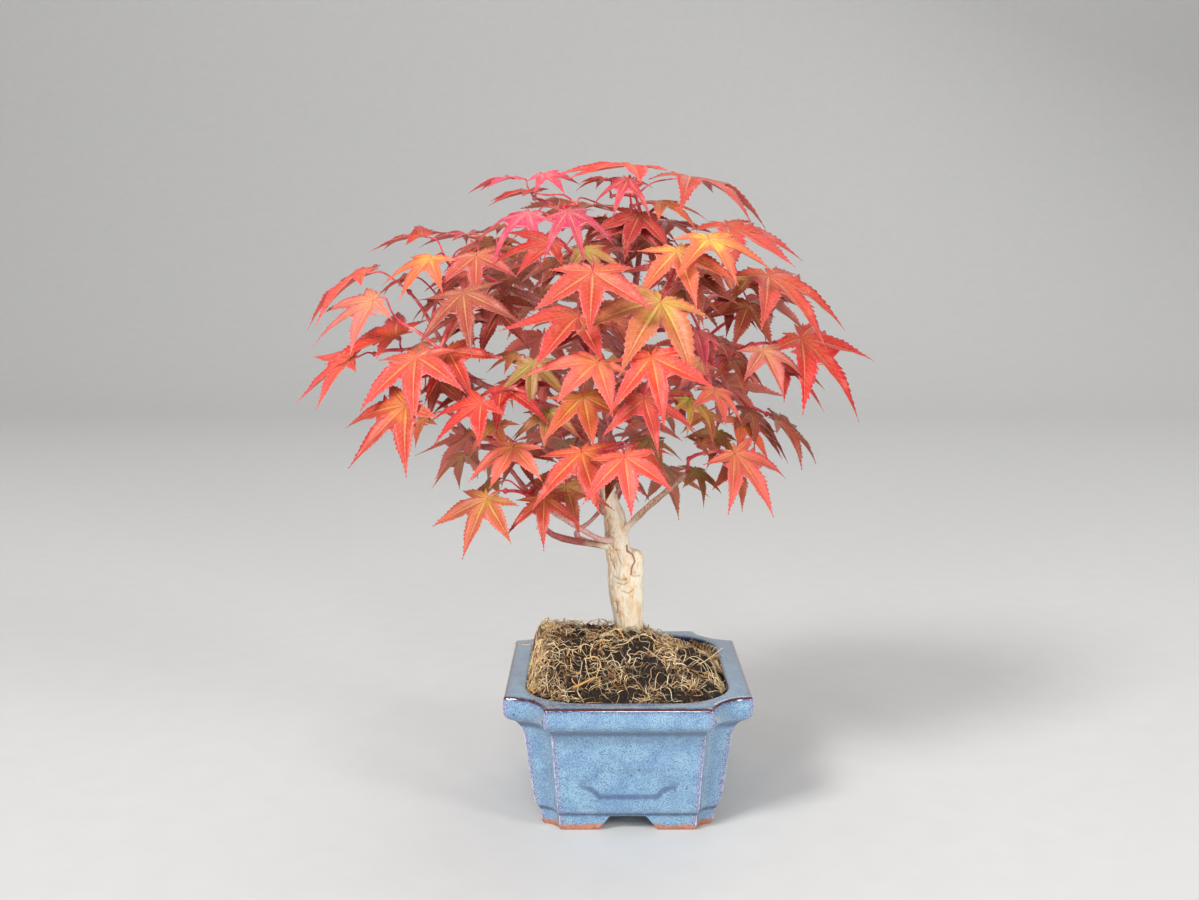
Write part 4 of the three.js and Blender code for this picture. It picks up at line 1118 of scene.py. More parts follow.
# %% Lay the trunk and the stub
TRUNK = [
    (630, 690, 12, 7.8), (630, 640, 12, 7.6), (629, 622, 12, 7.8), (627.5, 605, 12, 8.6),
    (626, 586, 12, 9.0), (624, 566, 12, 8.4), (618, 548, 11, 6.6), (615.5, 520, 10, 5.9),
    (610, 500, 9, 4.6), (605, 480, 8, 3.7),
]
STUB = [(629, 600, 11, 6), (632, 575, 10, 5.8), (635, 557, 9.5, 4.9), (635.5, 550, 9, 3.2)]
CROWN_MIDDLE = -20.0
DRAWN_CLOSER = 0.88


def stations(rows):
    """Places and radii in a row from a table of column, row, depth and radius."""
    return np.array([(*at(column, row, depth), radius) for column, row, depth, radius in rows])


def place_turned(place):
    """The same place on the far half of the crown."""
    across = CROWN_MIDDLE - DRAWN_CLOSER * (place[0] - CROWN_MIDDLE)
    return np.array([across, -DRAWN_CLOSER * place[1], place[2]])


def round_stem(name, rows, sides):
    line = curve_through(rows, 8)
    points, faces = tube(line[:, :3], line[:, 3], sides)
    return make_piece(name, points, faces)


leader_rows = SPRAYS["top"]["branch"]
wood = round_stem("maple_wood", np.vstack([stations(TRUNK), stations(leader_rows)[1:3]]), 28)
stub = round_stem("stub", stations(STUB), 24)
bpy.ops.object.select_all(action="DESELECT")
stub.select_set(True)
wood.select_set(True)
bpy.context.view_layer.objects.active = wood
bpy.ops.object.join()
fuse = wood.modifiers.new("fuse", "REMESH")
fuse.mode = "VOXEL"
fuse.voxel_size = 0.62 * MM
bpy.ops.object.modifier_apply(modifier=fuse.name)
soften = wood.modifiers.new("soften", "SMOOTH")
soften.factor = 0.5
soften.iterations = 6
bpy.ops.object.modifier_apply(modifier=soften.name)
print("trunk faces", len(wood.data.polygons))

# %% Press the bark into the trunk
CRACK = [(628, 546), (628.5, 551), (631.5, 553), (634.3, 558), (635, 561.5), (632.6, 566), (631.8, 573)]
WRINKLES = [[(609.7, 554), (612.2, 563), (614.6, 569)], [(617, 550), (619.5, 558), (621.4, 564)],
            [(613.4, 576), (621, 578.6), (627, 578.6)], [(617, 582.3), (624.4, 583.5), (628, 581)],
            [(630.6, 573.7), (635.5, 576), (640.4, 576)], [(616, 602), (617.7, 607), (617, 613)],
            [(612, 545), (615, 549), (620, 550)], [(622, 590), (629, 592), (634, 589)]]
KNOBS = [(at(604, 590, 8), 2.2), (at(606, 603, 4), 1.6), (at(645, 610, 4), 1.4), (at(612, 572, 3), 1.3),
         (at(640, 572, 3), 1.0)]
STAINS = [(at(617.5, 604, 5), 1.8), (at(620, 612, 5), 2.0), (at(613.5, 547.5, 5), 2.2),
          (at(626, 579, 3.5), 1.2), (at(632.5, 596, 4), 0.9), (at(615, 561, 5), 1.6),
          (at(613, 584, 6.5), 1.5), (at(610, 533, 5.5), 3.2), (at(608, 522, 5.5), 3.0),
          (at(635, 573, 4.5), 0.9)]
skin = (np.array([vertex.co for vertex in wood.data.vertices]) - HOME) / MM
outward = np.array([vertex.normal for vertex in wood.data.vertices])
flutes = np.array([noise.noise((p[0] * 0.28, p[1] * 0.28, p[2] * 0.05)) for p in skin])
ridges = np.array([noise.noise((p[0] * 0.9 + 5, p[1] * 0.9, p[2] * 0.22)) for p in skin])
grain = np.array([noise.noise((p[0] * 2.2, p[1] * 2.2 + 9, p[2] * 0.8)) for p in skin])


def stroke(places, width):
    """How near each point of the trunk's front looks to a line through the places, from 0 to 1."""
    line = curve_through([at(*place, 6) for place in places], 6)
    gap = np.min([np.linalg.norm((skin - place)[:, [0, 2]], axis=1) for place in line], axis=0)
    return np.exp(-(gap / width) ** 2) * smooth(-3 * outward[:, 1])


crack = stroke(CRACK, 0.55)
for wrinkle in WRINKLES:
    crack = np.maximum(crack, 0.7 * stroke(wrinkle, 0.5))
stain = np.zeros(len(skin))
for place, size in STAINS:
    offset = (skin - place) / (size, size, 1.6 * size)
    stain = np.maximum(stain, np.exp(-(offset ** 2).sum(axis=1)))
slim = smooth((190 - skin[:, 2]) / 60)
move = (0.75 * flutes + 0.42 * ridges + 0.16 * grain) * (0.35 + 0.65 * slim) - 0.35 - 0.6 * crack
for place, size in KNOBS:
    move += size * 0.55 * np.exp(-(np.linalg.norm(skin - place, axis=1) / size) ** 2)
skin += outward * move[:, None]
flare = smooth((74 - skin[:, 2]) / 14)
foot = TRUNK_FOOT[:2]
skin[:, :2] = foot + (skin[:, :2] - foot) * (1 + 0.03 * flare[:, None])
wood.data.vertices.foreach_set("co", to_frame(skin).ravel())
trunk_count = len(skin)

# %% [markdown]
# ## The branches
# Every branch follows the places that the model's own wood follows, a little slimmer, and starts inside the
# trunk. The far half of the crown is the near half turned about the middle. Young maple wood is red, so
# each point keeps how young it is, which here means how far it lies from the fork. The lowest branch on the
# left is pink.

# %% Grow the branches
core = np.vstack([stations(TRUNK), stations(leader_rows)])


def branch_path(spray, far):
    path = stations(spray["branch"])
    if not far:
        return path
    for row in path:
        row[:3] = place_turned(row[:3])
    below = core[core[:, 2] < path[1, 2] - 5]
    nearest = below[np.argmin(np.linalg.norm(below[:, :3] - path[1, :3], axis=1))]
    path[0, :3] = nearest[:3]
    return path


def spray_nodes(spray, far):
    places = [at(*place) for place in spray["nodes"]]
    return [place_turned(place) for place in places] if far else places


BRANCH_PINK = {"low_left": 1.0}
BRANCH_YOUTH = {"low_left": 0.6, "low_right": 0.42}
BRANCH_SLIM = {"low_left": 0.78, "low_right": 0.74}
branches = Gathered()
chance = np.random.default_rng(12)
for name, spray in SPRAYS.items():
    for far in ([False, True] if spray.get("far") else [False]):
        path = branch_path(spray, far)
        first_knot = spray_nodes(spray, far)[0]
        path = np.vstack([path, (*(first_knot + (path[-1, :3] - first_knot) * 0.3), path[-1, 3] * 0.85)])
        line = curve_through(path, 5)
        swell = 1 + 0.10 * np.sin(np.arange(len(line)) * 1.7 + chance.uniform(0, 6))
        slim = 0.66 if far else BRANCH_SLIM.get(name, 1.0)
        points, faces = tube(line[:, :3], line[:, 3] * swell * slim, 10 if path[0, 3] > 2.5 else 8)
        youngest = 1.6 if far else BRANCH_YOUTH.get(name, 1.0)
        branches.add(points, faces, (BRANCH_PINK.get(name, 0.0), youngest))
young_wood, branch_marks = branches.piece("young_wood")
select_only(wood)
young_wood.select_set(True)
bpy.ops.object.join()
bpy.ops.object.shade_smooth()
all_skin = (np.array([vertex.co for vertex in wood.data.vertices]) - HOME) / MM
height = all_skin[:, 2]
youth = np.full(len(all_skin), 0.0)
youth[trunk_count:] = smooth((np.linalg.norm(all_skin[trunk_count:] - core[6, :3], axis=1) - 6) / 30)
youth[trunk_count:] = np.clip(youth[trunk_count:] * branch_marks[:, 1], 0, 1)
youth[:trunk_count] = 0.35 * smooth((height[:trunk_count] - 150) / 60)
store(wood, "youth", youth)
store(wood, "crack", np.concatenate([crack, np.zeros(len(branch_marks))]))
store(wood, "stain", np.concatenate([stain, np.zeros(len(branch_marks))]))
store(wood, "pink", np.concatenate([np.zeros(trunk_count), branch_marks[:, 0]]))
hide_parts("trunk")
print("wood faces", len(wood.data.polygons))

# %% [markdown]
# Maple bark on a small tree is smooth and cream with tan streaks that run up the stem. The streaks are
# noise stretched along Z. Stains and the crack are painted from kept values, and young wood is reddish
# brown.

# %% Mix the bark


def bark_finish():
    material, tree, shader = new_finish("maple bark", 0.72)
    place = millimetres(tree)
    tall = millimetres(tree, (1.0, 1.0, 0.34))
    streak = cloud(tree, tall, 0.34, 5.0, 0.65, 1.2)
    fine = cloud(tree, tall, 1.3, 5.0, 0.7)
    colour = mixed(tree, ranged(tree, streak, 0.44, 0.62, 0.0, 0.85), tone("fff5de"), tone("f4d2a2"))
    colour = mixed(tree, ranged(tree, fine, 0.56, 0.72, 0.0, 0.6), colour, tone("b98a54"))
    pale = cloud(tree, place, 0.23, 3.0)
    colour = mixed(tree, ranged(tree, pale, 0.52, 0.7, 0.0, 0.55), colour, tone("fff8e8"))
    stain = times(tree, kept(tree, "stain").outputs["Fac"], ranged(tree, fine, 0.42, 0.58, 0.0, 0.85))
    colour = mixed(tree, stain, colour, tone("ce9a5c"), "MULTIPLY")
    split = ranged(tree, kept(tree, "crack").outputs["Fac"], 0.15, 0.85, 0.0, 0.95)
    colour = mixed(tree, split, colour, tone("a06c40"), "MULTIPLY")
    youth = kept(tree, "youth").outputs["Fac"]
    young = mixed(tree, ranged(tree, fine, 0.42, 0.62), tone("c06a66"), tone("8e4846"))
    middle = mixed(tree, ranged(tree, fine, 0.42, 0.62), tone("dcb49a"), tone("9c6e56"))
    colour = mixed(tree, ranged(tree, youth, 0.05, 0.35), colour, middle)
    colour = mixed(tree, ranged(tree, youth, 0.45, 0.9), colour, young)
    pink = times(tree, kept(tree, "pink").outputs["Fac"], ranged(tree, fine, 0.6, 0.35, 0.5, 0.95))
    colour = mixed(tree, pink, colour, tone("f2bcb8"))
    link(tree, colour, shader.inputs["Base Color"])
    height = plus(tree, streak, times(tree, fine, 0.7))
    bump(tree, shader, height, 0.7, 0.8)
    return material


wood.data.materials.clear()
wood.data.materials.append(bark_finish())
print("bark finish made")

# %% [markdown]
# ## One maple leaf
# A leaf of this maple is a hand of five long lobes and two small ones at the base. Each lobe runs out to a
# fine point, and its edge is cut into forward-pointing teeth. The leaf is modelled once, flat and one unit
# long, as half lobes: rows of points run from the midrib to the edge, and slant forwards as the side veins
# do. Two halves meet point for point at the midrib, and two lobes do at the line to their sinus, so the
# blade is one sheet. A copy of the sheet on the other face, and a rim between the two, close it.

# %% Cut the pattern of the leaf
LOBES = [(0, 1.0, 13), (48, 0.94, 12), (98, 0.52, 7), (140, 0.2, 3)]
SINUSES = [(24, 0.235), (72, 0.19), (120, 0.11), (166, 0.06)]
LINE_STEPS = 3
RIB_SLANT = 1.12
CROSS_ROWS = (0.0, 0.2, 0.6, 1.0)


def toward(degrees, reach):
    angle = math.radians(degrees)
    return np.array([math.cos(angle), math.sin(angle)]) * reach


def lobe_edge(turn, length, teeth, sinus_turn, sinus_reach, chance):
    """The toothed edge of half a lobe, sinus to tip: distances along and away from the midrib."""
    gap = math.radians(abs(sinus_turn - turn))
    start_along, start_away = sinus_reach * math.cos(gap), sinus_reach * math.sin(gap)
    rows = []
    for step in range(1, 2 * teeth + 1):
        share = (step / (2 * teeth)) ** 0.9
        along = start_along + (length - start_along) * share
        away = (1 - share) ** 1.9 * (start_away + 0.60 * length * share) + 0.006 * length * (1 - share)
        if step % 2 == 1:
            bite = chance.uniform(0.35, 1.65) * length ** 0.6 * (1 - share) ** 0.3
            away += 0.025 * bite
            along += 0.030 * bite
        rows.append((along, away))
    rows[-1] = (length, 0.0)
    return [(start_along, start_away)] + rows


class LeafPattern:
    """Points, faces and the place of each face's corners on its lobe."""

    def __init__(self):
        self.points, self.faces, self.corners, self.known = [], [], [], {}
        self.chance = np.random.default_rng(8)

    def point(self, place):
        key = (round(place[0], 5), round(place[1], 5))
        if key not in self.known:
            self.known[key] = len(self.points)
            self.points.append(place)
        return self.known[key]

    def half_lobe(self, lobe, sinus, side):
        turn, length, teeth = lobe
        sinus_turn, sinus_reach = sinus
        axis = toward(side * turn, 1.0)
        bend = side if sinus_turn > turn else -side
        square = np.array([-axis[1], axis[0]]) * bend
        edge = lobe_edge(turn, length, teeth, sinus_turn, sinus_reach, self.chance)
        start = edge[0]
        line = [(start[0] * step / LINE_STEPS, start[1] * step / LINE_STEPS) for step in range(LINE_STEPS)]
        whole = line + edge
        rows = []
        for step, (along, away) in enumerate(whole):
            rib = length * (step / (len(whole) - 1)) ** RIB_SLANT
            row = []
            for cross in CROSS_ROWS:
                place = axis * (rib + (along - rib) * cross) + square * away * cross
                row.append((self.point(place), ((step - LINE_STEPS) / 2, cross)))
            rows.append(row)
        for first, second in zip(rows, rows[1:]):
            for column in range(len(CROSS_ROWS) - 1):
                quad = [first[column], second[column], second[column + 1], first[column + 1]]
                if bend < 0:
                    quad = quad[::-1]
                kept_quad = [corner for step, corner in enumerate(quad) if corner[0] != quad[step - 1][0]]
                if len(kept_quad) > 2:
                    self.faces.append(tuple(corner[0] for corner in kept_quad[::-1]))
                    self.corners.append([(corner[1][0], corner[1][1]) for corner in kept_quad[::-1]])


def leaf_pattern():
    pattern = LeafPattern()
    for side in (1, -1):
        for number, lobe in enumerate(LOBES):
            pattern.half_lobe(lobe, SINUSES[number], side)
            if number:
                pattern.half_lobe(lobe, SINUSES[number - 1], side)
    return pattern


pattern = leaf_pattern()
blade = np.array(pattern.points)
sheet_count = len(blade)
directed = {(face[step - 1], face[step]) for face in pattern.faces for step in range(len(face))}
border = [(a, b) for a, b in directed if (b, a) not in directed]
leaf_faces = list(pattern.faces)
leaf_faces += [tuple(corner + sheet_count for corner in reversed(face)) for face in pattern.faces]
leaf_faces += [(b, a, a + sheet_count, b + sheet_count) for a, b in border]
corner_places = [place for face in pattern.corners for place in face]
corner_places += [place for face in pattern.corners for place in reversed(face)]
corner_places += [(0.0, 0.97)] * (4 * len(border))
corner_places = np.array(corner_places)
under = np.repeat([0.0, 1.0], sheet_count)
print("one leaf:", sheet_count, "points a face,", len(leaf_faces), "faces,", len(border), "edge lengths")

# %% [markdown]
# ## Set a leaf on the tree
# The crown is a dome, and its leaves lie along it as slates do. A leaf is known by where its stalk joins
# it, the direction its middle lobe takes in the photograph, its length there, and how much of its face
# shows. From these come its own axes. The blade is then folded a little along every rib, its tips hang
# down, and each lobe goes its own way by a small random amount.

# %% Find a leaf's axes
BLADE_HALF_THICKNESS = 0.16
LONGEST_LOBE = 50.0
FAR_SIZE = 0.94
DOME_MIDDLE = np.array([CROWN_MIDDLE, 0.0, 150.0])
DOME_HALF = np.array([150.0, 105.0, 160.0])


def leaf_axes(leaf):
    base = at(leaf["column"], leaf["row"], leaf["depth"])
    outward = unit((base - DOME_MIDDLE) / DOME_HALF ** 2) + (0, 0, 0.8)
    sideways = unit(outward - TO_VIEWER * (outward @ TO_VIEWER))
    normal = TO_VIEWER * leaf["show"] + sideways * math.sqrt(1 - leaf["show"] ** 2)
    heading = math.radians(leaf["heading"])
    seen = RIGHT * math.cos(heading) + VIEW_UP * math.sin(heading)
    lean = float(np.clip(-(seen @ normal) / (TO_VIEWER @ normal), -0.7, 0.9))
    along = unit(seen + TO_VIEWER * lean)
    normal = unit(normal - along * (normal @ along))
    away = -((base - EYE) @ TO_VIEWER)
    length = min(leaf["reach"] * away / FOCAL * math.hypot(1, lean), LONGEST_LOBE)
    return base, along, normal, length


def turn_leaf(axes):
    base, along, normal, length = axes
    flip = np.array([-1.0, -1.0, 1.0])
    return place_turned(base), along * flip, normal * flip, length * FAR_SIZE


# %% Bend the blade
turns = np.degrees(np.arctan2(blade[:, 1], blade[:, 0]))
reaches = np.hypot(blade[:, 0], blade[:, 1])
lobe_turns = np.array([-140, -98, -48, 0, 48, 98, 140])
nearest_lobe = np.argmin(np.abs(turns[:, None] - lobe_turns[None, :]), axis=1)
lobe_turn = lobe_turns[nearest_lobe]
off_rib = np.abs(turns - lobe_turn)
rib_fold = np.sin(np.radians(np.clip(off_rib, 0, 24))) * reaches
rib_side = rib_fold * np.sign(turns - lobe_turn)


def bent_blade(axes, droop, chance):
    """The points of both faces of one leaf."""
    base, along, normal, length = axes
    aside = np.cross(normal, along)
    young = droop > 0.4
    slimness = chance.uniform(0.45, 0.58) if young else chance.uniform(0.05, 0.34)
    cut = 0.5 if young else chance.uniform(0.0, 0.3)
    length = length * 0.86 if young else length
    fold = chance.uniform(0.28, 0.66)
    lobe_lift = chance.normal(0, 0.08, len(lobe_turns))
    lobe_twist = chance.normal(0, 0.22, len(lobe_turns))
    lobe_swing = chance.normal(0, math.radians(2.2), len(lobe_turns))
    curl = chance.uniform(-0.03, 0.10)
    waves = np.sin(reaches * 21 + nearest_lobe * 1.9 + chance.uniform(0, 6))
    ripple = 0.010 * waves * np.clip(off_rib / 12, 0, 1)
    narrow = 1 - slimness * smooth((reaches - 0.22) / 0.2)
    swing = lobe_swing[nearest_lobe] * smooth(reaches * 2)
    angle = np.radians(lobe_turn + (turns - lobe_turn) * narrow) + swing
    inset = 1 - cut * smooth(off_rib / 20) * smooth((0.42 - reaches) / 0.2)
    spread = reaches * inset * (1 - 0.25 * droop * reaches) * length
    lift = fold * rib_fold * narrow - droop * reaches ** 2 + lobe_lift[nearest_lobe] * reaches ** 2
    lift = lift - curl * reaches ** 4 + ripple * reaches + lobe_twist[nearest_lobe] * rib_side * reaches
    flat = base + np.outer(spread * np.cos(angle), along) + np.outer(spread * np.sin(angle), aside)
    middle = flat + np.outer(lift * length, normal)
    thin = BLADE_HALF_THICKNESS * (1 - 0.45 * smooth(reaches * 1.1 - 0.1))
    return np.vstack([middle + np.outer(thin, normal), middle - np.outer(thin, normal)])

# %% [markdown]
# ## The colours of spring
# New leaves of this maple are coral and scarlet, with a redder edge. Young ones are crimson or magenta, and
# older ones turn orange, gold and olive from the ribs outwards. Each name below is a blade colour, the
# colour round its ribs, and the colour of its edge.

# %% Name the leaf colours
# Dusk, a darker brownish red, is given mostly to leaves inside the crown and stands partly for the shade
# there.
LEAF_COLOURS = {
    "flame": ("e84034", "ee7040", "e23c46"), "coral": ("ea5446", "ee7c54", "e64a54"),
    "crimson": ("b83a38", "c05c44", "9c3034"), "amber": ("de6c42", "eaa84a", "de5044"),
    "rose": ("e65062", "ee8474", "de4460"), "salmon": ("e46a58", "ea945e", "de5458"),
    "scarlet": ("dc3432", "e65a40", "ce303a"), "ember": ("d04a38", "e08440", "c63c40"),
    "peach": ("de7c68", "e6a86e", "de6460"), "dusk": ("ac4a3c", "b86c46", "94403a"),
    "rust": ("b85640", "c4804a", "aa443e"), "magenta": ("ee4a6e", "f07c82", "e03e64"),
    "apricot": ("de6c48", "e8a64c", "e05648"), "ochre": ("c66e48", "c8a448", "c6543e"),
    "gold": ("e0744a", "e8c652", "e25a46"), "olive": ("aa7444", "a8a048", "b25240"),
    "lime": ("c49a4c", "bccc56", "cc6c48"),
}
RED_STALK = tone("c43a3c")[:3]
PALE_STALK = tone("d9706a")[:3]


def leaf_mark(tint, chance):
    """The three colours of one leaf, each a little lighter or darker than its name says."""
    shade = chance.uniform(0.74, 1.22)
    warmth = chance.uniform(-0.05, 0.05)
    warmer = np.array([1, 1 + warmth * 2, 1 - warmth])
    colours = [np.array(tone(text)[:3]) * shade * warmer for text in LEAF_COLOURS[tint]]
    return np.clip(np.concatenate(colours), 0, 1)

# %% [markdown]
# ## Build the sprays
# A spray is a few leaves on one twig. Twigs run from knot to knot, and each leaf's red stalk curves from
# its blade to the knot that is nearest behind it. One spray is one piece, and it stands for the model's
# spray of the same name.

# %% Join leaves, stalks and twigs
TWIG_RADIUS = 0.85
STALK_RADIUS = 0.42


def stalk_points(base, along, normal, length, knots, chance):
    """A curved stalk from the blade to the best knot: one that lies behind the leaf and close by."""
    costs = [1.6 * np.linalg.norm(knot - base) + (knot - base) @ along for knot in knots]
    foot = knots[int(np.argmin(costs))]
    reach = np.linalg.norm(foot - base)
    leaves_blade = base - along * reach * 0.34 - normal * reach * 0.08
    leaves_knot = foot + (base - foot) * 0.30 + np.array([0, 0, 1.0]) * reach * 0.12
    path = curve_through([foot, leaves_knot, leaves_blade, base + along * length * 0.02], 5)
    radii = STALK_RADIUS * (1 + 0.9 * np.exp(-np.linspace(0, 1, len(path)) * 9)
                            + 0.35 * np.exp(-np.linspace(1, 0, len(path)) * 8))
    return path, radii


def twig_links(knots):
    """Each knot after the first joins the nearest of those before it."""
    pairs = []
    for number in range(1, len(knots)):
        earlier = [np.linalg.norm(knots[number] - knot) for knot in knots[:number]]
        pairs.append((int(np.argmin(earlier)), number))
    return pairs


def spray_piece(name, spray, far, chance):
    made = Gathered()
    knots = spray_nodes(spray, far)
    stalk_mark = np.concatenate([RED_STALK, PALE_STALK, RED_STALK, [0.0, 0.0]])
    for first, second in twig_links(knots):
        span = knots[second] - knots[first]
        rise = np.array([0, 0, 0.06]) * np.linalg.norm(span)
        path = curve_through([knots[first], knots[first] + span / 2 + rise, knots[second]], 5)
        points, faces = tube(path, np.linspace(TWIG_RADIUS * 1.15, TWIG_RADIUS * 0.85, len(path)), 7)
        made.add(points, faces, stalk_mark, 1)
    for knot in knots:
        swelling = crumb_points * (1.25, 1.25, 1.5) * chance.uniform(0.9, 1.15)
        made.add(swelling + knot, crumb_faces, stalk_mark, 1)
    for leaf in spray["leaves"] + EXTRA_LEAVES.get(name, []):
        own = np.random.default_rng([leaf["column"], leaf["row"], int(far)])
        axes = leaf_axes(leaf)
        if far:
            axes = turn_leaf(axes)
        mark = np.concatenate([leaf_mark(leaf["tint"], own), [0.0, 0.0]])
        marks = np.tile(mark, (2 * sheet_count, 1))
        marks[:, 9] = under
        marks[:, 10] = np.tile(reaches, 2)
        made.add(bent_blade(axes, leaf["droop"], own), leaf_faces, marks, 0, corner_places)
        path, radii = stalk_points(*axes, knots, chance)
        points, faces = tube(path, radii, 6)
        made.add(points, faces, stalk_mark, 1)
    node = f"spray_far_{name}" if far else f"spray_{name}"
    piece, marks = made.piece(f"maple_{node}")
    for label, first in (("tint", 0), ("heart", 3), ("margin", 6)):
        colour = np.column_stack([marks[:, first:first + 3], np.ones(len(marks))])
        store(piece, label, colour, "FLOAT_COLOR")
    store(piece, "under", marks[:, 9])
    store(piece, "outward", marks[:, 10])
    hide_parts(node)
    return piece

# %% [markdown]
# ## Leaf and stalk finishes
# Light shines through a maple leaf, so its shader mixes a Principled surface with some Translucent. The
# place on the lobe, which the blade keeps as a UV map, draws the ribs: the midrib is a thin pale line, and
# side veins leave it at a slant. Soft noise shifts the colour over the blade, as no leaf is one red. Pale
# patches of painted sheen, small painted glints and a painted highlight along the teeth stand for gloss,
# and painted shade darkens the crease beside the midrib.

# %% Mix the leaf and the stalk


def leaf_finish():
    material, tree, shader = new_finish("spring leaf", 0.42)
    shader.inputs["Specular IOR Level"].default_value = 0.34
    on_lobe = add_node(tree, "ShaderNodeUVMap", uv_map="lobe")
    parts = add_node(tree, "ShaderNodeSeparateXYZ", {0: on_lobe.outputs[0]})
    tooth, cross = parts.outputs[0], parts.outputs[1]
    place = millimetres(tree)
    tint, heart, margin = (kept(tree, name).outputs["Color"] for name in ("tint", "heart", "margin"))
    outward = kept(tree, "outward").outputs["Fac"]
    cloudy = cloud(tree, place, 0.10, 4.0, 0.6)
    fine = cloud(tree, place, 0.8, 4.0, 0.65)
    to_tip = plus(tree, outward, times(tree, cross, 0.35))
    from_heart = plus(tree, to_tip, times(tree, cloudy, 0.9))
    colour = mixed(tree, ranged(tree, from_heart, 1.02, 0.55, 0.0, 0.92), tint, heart)
    colour = mixed(tree, ranged(tree, to_tip, 0.65, 1.1, 0.0, 0.75), colour, margin)
    colour = mixed(tree, ranged(tree, cross, 0.72, 1.0, 0.0, 0.7), colour, margin)
    # Painted sheen: pale pinkish patches stand in for the gloss of the leaf.
    painted_sheen = times(tree, ranged(tree, cloudy, 0.5, 0.66, 0.0, 0.5), ranged(tree, fine, 0.36, 0.6))
    colour = mixed(tree, painted_sheen, colour, mixed(tree, 0.5, tint, tone("f6b49c")))
    colour = mixed(tree, ranged(tree, fine, 0.5, 0.75, 0.0, 0.3), colour, margin)
    # Painted shade: the crease beside the midrib is darkened.
    crease_shade = ranged(tree, distance_from(tree, cross, 0.22), 0.16, 0.0, 0.0, 0.55)
    colour = mixed(tree, crease_shade, colour, tone("d49a9a"), "MULTIPLY")
    off_vein = distance_from(tree, maths(tree, "FRACT", tooth), 0.5)
    side_vein = ranged(tree, off_vein, 0.12, 0.03, 0.0, 0.2)
    side_vein = times(tree, side_vein, ranged(tree, cross, 1.0, 0.5))
    midrib = ranged(tree, cross, 0.08, 0.02, 0.0, 0.7)
    vein = maths(tree, "MAXIMUM", side_vein, midrib)
    glints = ranged(tree, cloud(tree, place, 1.9, 3.0, 0.7), 0.6, 0.72, 0.0, 0.6)
    colour = mixed(tree, glints, colour, tone("ffc8b8"))
    # Painted highlight: a pale line along the toothed edge.
    colour = mixed(tree, ranged(tree, cross, 0.94, 1.0, 0.0, 0.6), colour, tone("ffb4a4"))
    colour = mixed(tree, vein, colour, mixed(tree, 0.6, heart, tone("ffbe8c")))
    below = kept(tree, "under").outputs["Fac"]
    colour = mixed(tree, times(tree, below, 0.35), colour, tone("e09484"))
    link(tree, colour, shader.inputs["Base Color"])
    link(tree, ranged(tree, fine, 0.3, 0.7, 0.30, 0.5), shader.inputs["Roughness"])
    quilt = maths(tree, "SUBTRACT", times(tree, fine, 0.25), vein)
    bump(tree, shader, quilt, 0.25, 0.7)
    through = mixed(tree, 0.5, colour, tone("ff5a38"), "MULTIPLY")
    glow = add_node(tree, "ShaderNodeBsdfTranslucent", {"Color": through})
    both = add_node(tree, "ShaderNodeMixShader", {0: 0.15, 1: shader.outputs[0], 2: glow.outputs[0]})
    link(tree, both.outputs[0], tree.nodes["Material Output"].inputs["Surface"])
    return material


def stalk_finish():
    material, tree, shader = new_finish("red stalk", 0.4)
    place = millimetres(tree)
    streak = cloud(tree, place, 0.5, 4.0, 0.6)
    colour = mixed(tree, ranged(tree, streak, 0.38, 0.66), tone("e04650"), tone("b02e3c"))
    blush = ranged(tree, cloud(tree, place, 0.12, 2.0), 0.5, 0.68, 0.0, 0.6)
    colour = mixed(tree, blush, colour, tone("f0a092"))
    link(tree, colour, shader.inputs["Base Color"])
    bump(tree, shader, cloud(tree, place, 1.5, 3.0), 0.15, 0.5)
    return material


LEAF_FINISH = leaf_finish()
STALK_FINISH = stalk_finish()

# %% Build every spray
leaf_chance = np.random.default_rng(5)
leaf_total = 0
for name, spray in SPRAYS.items():
    for far in ([False, True] if spray.get("far") else [False]):
        piece = spray_piece(name, spray, far, leaf_chance)
        piece.data.materials.append(LEAF_FINISH)
        piece.data.materials.append(STALK_FINISH)
        leaf_total += len(spray["leaves"]) + len(EXTRA_LEAVES.get(name, []))
print("leaves on the tree", leaf_total)

# %% [markdown]
# ## The drainage mesh
# Two squares of black plastic mesh cover the drain holes inside the pot. The model's own shapes are right,
# so they only get a finish.

# %% Finish the drainage mesh


def plastic_finish():
    material, tree, shader = new_finish("mesh plastic", 0.5)
    place = millimetres(tree)
    scuff = ranged(tree, cloud(tree, place, 0.6, 4.0, 0.6), 0.45, 0.7)
    link(tree, mixed(tree, scuff, tone("1d1f21"), tone("34373a")), shader.inputs["Base Color"])
    bump(tree, shader, cloud(tree, place, 2.5, 3.0), 0.05, 0.5)
    return material


PLASTIC = plastic_finish()
for node in ("drainage_mesh_front", "drainage_mesh_back"):
    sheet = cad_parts[node]
    for slot in sheet.material_slots:
        slot.material = PLASTIC
print("drainage mesh finished")

# %% [markdown]
# ## Floor, light and camera
# The tree stands on a plain pale floor that curves up behind it. Broad soft lights stand round it, as in a
# studio, and three small ones in front leave bright marks on the glaze. The camera looks from where the
# photograph was taken: a little above the pot's rim, and close to the trunk's line. The colours are shown
# as they are, because a film-like curve would dull the reds.

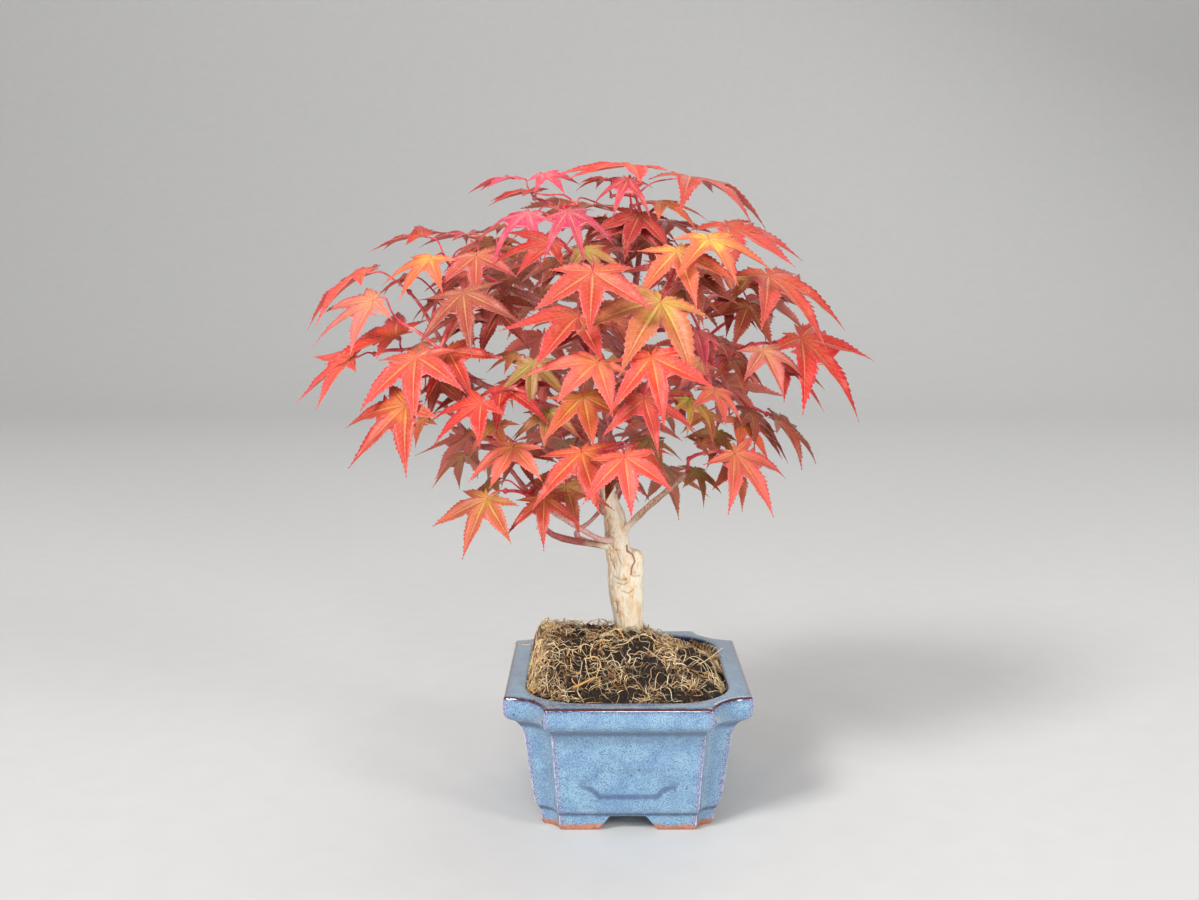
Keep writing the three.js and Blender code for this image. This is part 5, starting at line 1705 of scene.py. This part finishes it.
# %% Lay the floor
bpy.ops.object.select_all(action="DESELECT")
bpy.ops.mesh.primitive_plane_add(size=7, location=(0, 0, -0.0002))
floor = bpy.context.object
floor.name = "studio_floor"
bpy.ops.object.transform_apply(location=True, rotation=True, scale=True)
bpy.ops.object.mode_set(mode="EDIT")
bpy.ops.mesh.select_mode(type="EDGE")
bpy.ops.mesh.select_all(action="DESELECT")
bpy.ops.object.mode_set(mode="OBJECT")
for edge in floor.data.edges:
    edge.select = all(floor.data.vertices[end].co.y > 3 for end in edge.vertices)
bpy.ops.object.mode_set(mode="EDIT")
bpy.ops.mesh.extrude_region_move(TRANSFORM_OT_translate={"value": (0, 0, 5)})
bpy.ops.object.mode_set(mode="OBJECT")
for edge in floor.data.edges:
    ends = [floor.data.vertices[end].co for end in edge.vertices]
    edge.select = all(end.y > 3 and end.z < 1 for end in ends)
bpy.ops.object.mode_set(mode="EDIT")
bpy.ops.mesh.bevel(offset=1.6, segments=24, profile=0.5, affect="EDGES")
bpy.ops.object.mode_set(mode="OBJECT")
bpy.ops.object.shade_smooth()
floor_material, floor_tree, floor_shader = new_finish("studio floor", 0.55)
grain = cloud(floor_tree, millimetres(floor_tree), 0.05, 3.0)
floor_colour = mixed(floor_tree, grain, tone("cfcecc"), tone("d6d5d3"))
link(floor_tree, floor_colour, floor_shader.inputs["Base Color"])
floor.data.materials.append(floor_material)

# %% Hang the lights
TREE_MIDDLE = (float(HOME[0]) - 0.02, float(HOME[1]), 0.17)


def softbox(name, place, power, width, height):
    """An oblong light that is turned to the middle of the tree."""
    light = bpy.data.lights.new(name, "AREA")
    light.shape = "RECTANGLE"
    light.size = width
    light.size_y = height
    light.energy = power
    lamp = bpy.data.objects.new(name, light)
    lamp.location = place
    lamp.rotation_euler = (Vector(TREE_MIDDLE) - Vector(place)).to_track_quat("-Z", "Y").to_euler()
    bpy.context.scene.collection.objects.link(lamp)


softbox("key softbox", (-1.9, -2.3, 2.6), 126, 1.0, 1.0)
softbox("fill softbox", (2.4, -2.1, 1.5), 42, 0.8, 1.0)
softbox("top softbox", (0.0, 0.3, 3.2), 20, 2.2, 2.0)
softbox("low left softbox", (-1.2, -2.5, 0.8), 14, 0.35, 0.5)
softbox("low right softbox", (1.2, -2.5, 0.8), 15, 0.35, 0.5)
softbox("front softbox", (0.15, -2.5, 1.6), 12, 0.35, 0.35)
softbox("back softbox", (1.3, 2.2, 2.1), 14, 1.8, 1.5)
world = bpy.data.worlds.new("studio")
world.use_nodes = True
world.node_tree.nodes["Background"].inputs["Color"].default_value = (0.95, 0.97, 1.0, 1)
world.node_tree.nodes["Background"].inputs["Strength"].default_value = 0.10
bpy.context.scene.world = world
bpy.context.scene.view_settings.view_transform = "Standard"

# %% Set the camera
PICTURE_WIDTH = 1199.0
camera_data = bpy.data.cameras.new("photo camera")
camera_data.sensor_width = 36.0
camera_data.lens = 36.0 * FOCAL / PICTURE_WIDTH
camera_data.clip_start = 0.01
camera = bpy.data.objects.new("photo camera", camera_data)
camera.location = to_frame(EYE)
camera.rotation_euler = (math.pi / 2 - PITCH, 0, 0)
bpy.context.scene.collection.objects.link(camera)
bpy.context.scene.camera = camera
print("camera at", [round(value, 4) for value in camera.location])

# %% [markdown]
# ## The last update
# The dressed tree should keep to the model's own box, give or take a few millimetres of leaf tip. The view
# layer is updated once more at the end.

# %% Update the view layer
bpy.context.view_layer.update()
